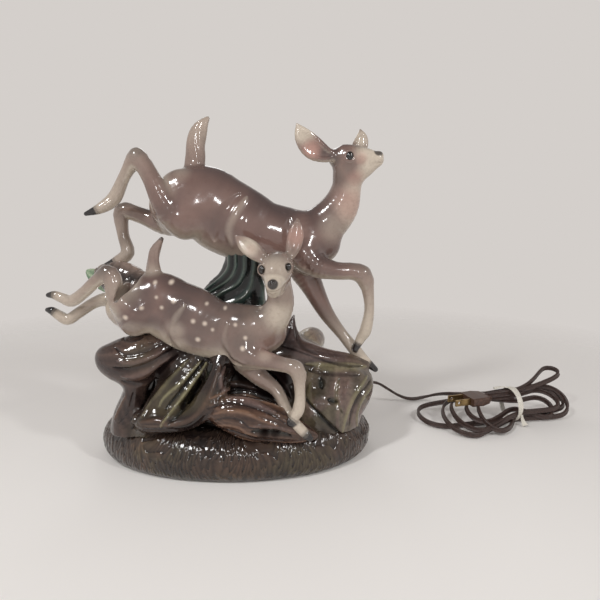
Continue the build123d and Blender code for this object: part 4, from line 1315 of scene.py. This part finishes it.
# Each lap: the upper strand's place in the tie (out, height), the right end, the lower strand's place in the
# tie, and the left end. An end: how far along it reaches, its bow, how much nearer the tie its back is than
# its front, its front and back (out), and their heights.
LAPS = [
    ((10, 25), (162, 20, 6, -9, 13, 4, 30), (-8, 4), (0, 22, 0, -14, 32, 3, 8)),
    ((2, 30), (155, 17, 9, -5, 19, 11, 28), (-11, 9), (15, 24, 8, -38, 24, 3, 16)),
    ((-6, 22), (140, 14, 1, -12, 7, 5, 20), (-2, 14), (40, 16, 4, -25, 7, 10, 22)),
    ((-4, 27), (148, 16, 4, -11, 12, 13, 26), (-13, 13), (26, 20, 4, -35, 19, 6, 21)),
    ((6, 30), (163, 19, 5, 0, 20, 7, 23), (-6, 5), (50, 15, 2, -36, 1, 5, 27)),
]
HOME_ROUTE = [
    (TIE, 0, 30), (112, 3, 34), (128, 13, 38), (141, 23, 42), (150, 29, 44), (159, 28, 44), (162, 20, 42),
    (154, 13, 39), (136, 8, 35), (113, 3, 31), (TIE, 4, 28), (83, 3.8, 25.5), (71, 2.1, 25),
]


# A strand is in line with a left end this far from it, and has come this share of the way out from the tie.
IN_LINE, STILL_OUT = 14, 0.25
BAND_OUT, BAND_MIDDLE, BAND_RISE = 18.2, 17.4, 16.1


def in_hank(along, out, height):
    """A point of the hank: along it from its left end, out towards the back, and up."""
    c, s = math.cos(HANK_TURN), math.sin(HANK_TURN)
    return (HANK_START[0] + along * c - out * s, HANK_START[1] + along * s + out * c, height)


def end_loop(side, place, bow, slant, front, back, low, high):
    """The control points round one end of a lap, from its back to its front; side is 1 at the right end."""
    points = []
    for degrees in (88, 52, 18, -18, -52, -88):
        turn = math.radians(degrees)
        rise = 0.5 + 0.5 * math.sin(turn)
        along = place - side * (bow * (1 - math.cos(turn)) + slant * rise)
        points.append((along, front + rise * (back - front), low + rise * (high - low)))
    return points


def part_way(start, end, share):
    """The point that is a share of the way from start to end."""
    return tuple(a + share * (b - a) for a, b in zip(start, end))


def lap(upper, right, lower, left):
    """The control points of one lap, from its upper strand in the tie to where it nears the tie again."""
    top, bottom = (TIE, *upper), (TIE, *lower)
    ahead = end_loop(1, *right)
    behind = end_loop(-1, *left)[::-1]
    reached = (behind[0][0] + IN_LINE, *part_way(behind[0], bottom, STILL_OUT)[1:])
    leaving = (behind[-1][0] + IN_LINE, *part_way(behind[-1], top, STILL_OUT)[1:])
    return [
        top, part_way(top, ahead[0], 0.5), *ahead, part_way(ahead[-1], bottom, 0.5),
        bottom, reached, *behind, leaving,
    ]


def cord_line():
    """Points along the whole cord, read from one smooth spline, in the frame."""
    route = list(FREE_ROUTE)
    for row in LAPS:
        route += [in_hank(*point) for point in lap(*row)]
    route += [in_hank(*point) for point in HOME_ROUTE]
    curve = bpy.data.curves.new("cord_line", "CURVE")
    curve.dimensions = "3D"
    curve.resolution_u = 10
    spline = curve.splines.new("NURBS")
    spline.points.add(len(route) - 1)
    for point, at in zip(spline.points, route):
        point.co = (*put(*at), 1)
    spline.order_u = 3
    spline.use_endpoint_u = True
    guide = bpy.data.objects.new("cord_line", curve)
    SCENE.objects.link(guide)
    bpy.context.view_layer.update()
    line = bpy.data.meshes.new_from_object(guide)
    points = [vertex.co.copy() for vertex in line.vertices]
    bpy.data.objects.remove(guide)
    bpy.data.curves.remove(curve)
    bpy.data.meshes.remove(line)
    return points


def tube(name, rings):
    """A smooth closed mesh through rings of points in the frame."""
    mesh = bmesh.new()
    made = [[mesh.verts.new(point) for point in ring] for ring in rings]
    for first, second in zip(made, made[1:]):
        for i in range(len(first)):
            j = (i + 1) % len(first)
            mesh.faces.new((first[i], first[j], second[j], second[i]))
    mesh.faces.new(made[0][::-1])
    mesh.faces.new(made[-1])
    bmesh.ops.recalc_face_normals(mesh, faces=mesh.faces)
    data = bpy.data.meshes.new(name)
    mesh.to_mesh(data)
    mesh.free()
    data.shade_smooth()
    return data


def flat_cord(points):
    """A two-core cord along points, flat where it lies free and on its edge in the hank."""
    core = 0.5 * CORD_THICK
    spread = 0.5 * CORD_WIDTH - core
    outline = []
    for i in range(24):
        turn = math.tau * (i + 0.5) / 24
        wide = core * math.cos(turn) + math.copysign(spread, math.cos(turn))
        thin = core * math.sin(turn)
        outline.append((wide, thin * (0.72 if abs(math.cos(turn)) < 0.3 else 1)))
    away = 0.0
    rings = []
    for i, at in enumerate(points):
        ahead = (points[min(i + 1, len(points) - 1)] - points[max(i - 1, 0)]).normalized()
        away += (at - points[max(i - 1, 0)]).length / MM
        level = ahead.cross(Vector((0, 0, 1))).normalized()
        upright = level.cross(ahead)
        lean = math.radians(84) * float(step(120, 215, away)) + 0.12 * math.sin(away / 37)
        wide = level * math.cos(lean) + upright * math.sin(lean)
        thin = ahead.cross(wide)
        rings.append([at + wide * a * MM + thin * b * MM for a, b in outline])
    mesh = tube("cord", rings)
    mesh.set_sharp_from_angle(angle=math.radians(50))
    return finished("cord", mesh, FINISHES["cord"], "cord_jacket", "lamp", "cord_free", "cord_hank")


def band():
    """The white tie: a soft flat band pinched round the hank."""
    rings = []
    count = 72
    for i in range(count):
        turn = math.tau * i / count
        wide = 2.7 + 0.7 * math.sin(turn + 0.3) + 0.3 * math.sin(5 * turn)
        skew = 0.8 * math.sin(turn + 0.9)
        ring = []
        for j in range(12):
            round_ = math.tau * j / 12
            along = TIE + skew + wide * math.cos(round_)
            swell = 0.7 * math.sin(round_) + 0.25 * math.sin(3 * round_ + turn * 4)
            out = (BAND_OUT + swell) * math.cos(turn)
            height = BAND_MIDDLE + (BAND_RISE + swell) * math.sin(turn)
            ring.append(in_hank(along, out, max(height, 0.4)))
        rings.append(ring)
    points, quads = wrapped(np.array(rings))
    skin = Skin("tie_band", points, quads)
    return skin.make(FINISHES["tie"], "tie_white", "cord_tie")


def tie_end(name, start, end, across, spread):
    """One flared end of the tie, from start to end in the hank, wide along the direction across."""
    start, end, across = Vector(start), Vector(end), Vector(across)
    thin = across.cross(end - start).normalized()
    rings = []
    for i in range(16):
        t = i / 15
        middle = start.lerp(end, t) + thin * 1.4 * math.sin(math.pi * t)
        wide = 1.3 + spread * t * t
        ring = []
        for j in range(12):
            turn = math.tau * j / 12
            crinkle = 0.55 * math.sin(turn) + 0.5 * t * math.sin(2 * turn)
            ring.append(put(*in_hank(*(middle + across * wide * math.cos(turn) + thin * crinkle))))
        rings.append(ring)
    return finished(name, tube(name, rings), FINISHES["tie"], "tie_white", "lamp")


def cord():
    points = cord_line()
    piece = flat_cord(points)
    ends = [
        band(),
        tie_end("tie_end_front", (TIE + 1, -18, 12), (TIE + 4, -20, 2), (1, 0, 0.3), 1.6),
        tie_end("tie_end_top", (TIE - 1, 3, 33), (TIE - 14, 9, 31), (0.1, 1, 0), 1.4),
    ]


# ---------------------------------------------------------------- everything together

SLOTS = {part["node"]: part["material_slot"] for part in frame["record"]["subparts"]}


def eye_glaze():
    finish = Finish("eye_glaze", srgb(14, 11, 11), roughness=0.06, coat=1.0)
    cloud = finish.noise(300, 2)
    finish.colour(finish.mix(finish.between(cloud, 0.4, 0.7), srgb(12, 10, 11), srgb(34, 22, 18)))
    return finish.material


FINISHES = {
    "deer": deer_glaze(),
    "eye": eye_glaze(),
    "rock": rock_glaze(),
    "brass": metal("lamp_brass", srgb(186, 158, 104), srgb(128, 102, 66), 0.34),
    "blade": metal("blade_brass", srgb(176, 150, 106), srgb(110, 86, 56), 0.36),
    "card": moulded("liner_card", srgb(120, 92, 62), srgb(150, 120, 84), 0.8, 260),
    "phenolic": moulded("black_phenolic", srgb(22, 20, 19), srgb(40, 35, 32), 0.22),
    "frosted": frosted_glass("bulb_frosted_glass", 0.5),
    "stem": frosted_glass("stem_glass", 0.08),
    "metal": metal("bulb_metal", srgb(190, 190, 188), srgb(140, 138, 134), 0.3),
    "cord": moulded("cord_jacket", srgb(52, 38, 34), srgb(78, 58, 52), 0.42, 700),
    "rubber": moulded("grommet_rubber", srgb(26, 24, 23), srgb(42, 39, 37), 0.55),
    "plug": moulded("plug_phenolic", srgb(70, 50, 42), srgb(98, 72, 60), 0.36),
    "tie": moulded("tie_white", srgb(224, 220, 210), srgb(196, 190, 178), 0.6, 900),
}
SLOT_FINISHES = {
    "deer_glaze": "deer", "rock_glaze": "rock", "teal_glaze": "rock", "lamp_brass": "brass",
    "blade_brass": "blade", "liner_card": "card", "black_phenolic": "phenolic",
    "bulb_frosted_glass": "frosted", "stem_glass": "stem", "bulb_metal": "metal", "cord_jacket": "cord",
    "grommet_rubber": "rubber", "plug_phenolic": "plug", "tie_white": "tie",
}
for node, piece in frame["nodes"].items():
    piece.data.materials.clear()
    piece.data.materials.append(FINISHES[SLOT_FINISHES[SLOTS[node]]])

camera()
daylight()
lights()
floor()
doe()
fawn()
rockwork()
plinth()
holder_and_bulb()
cord()
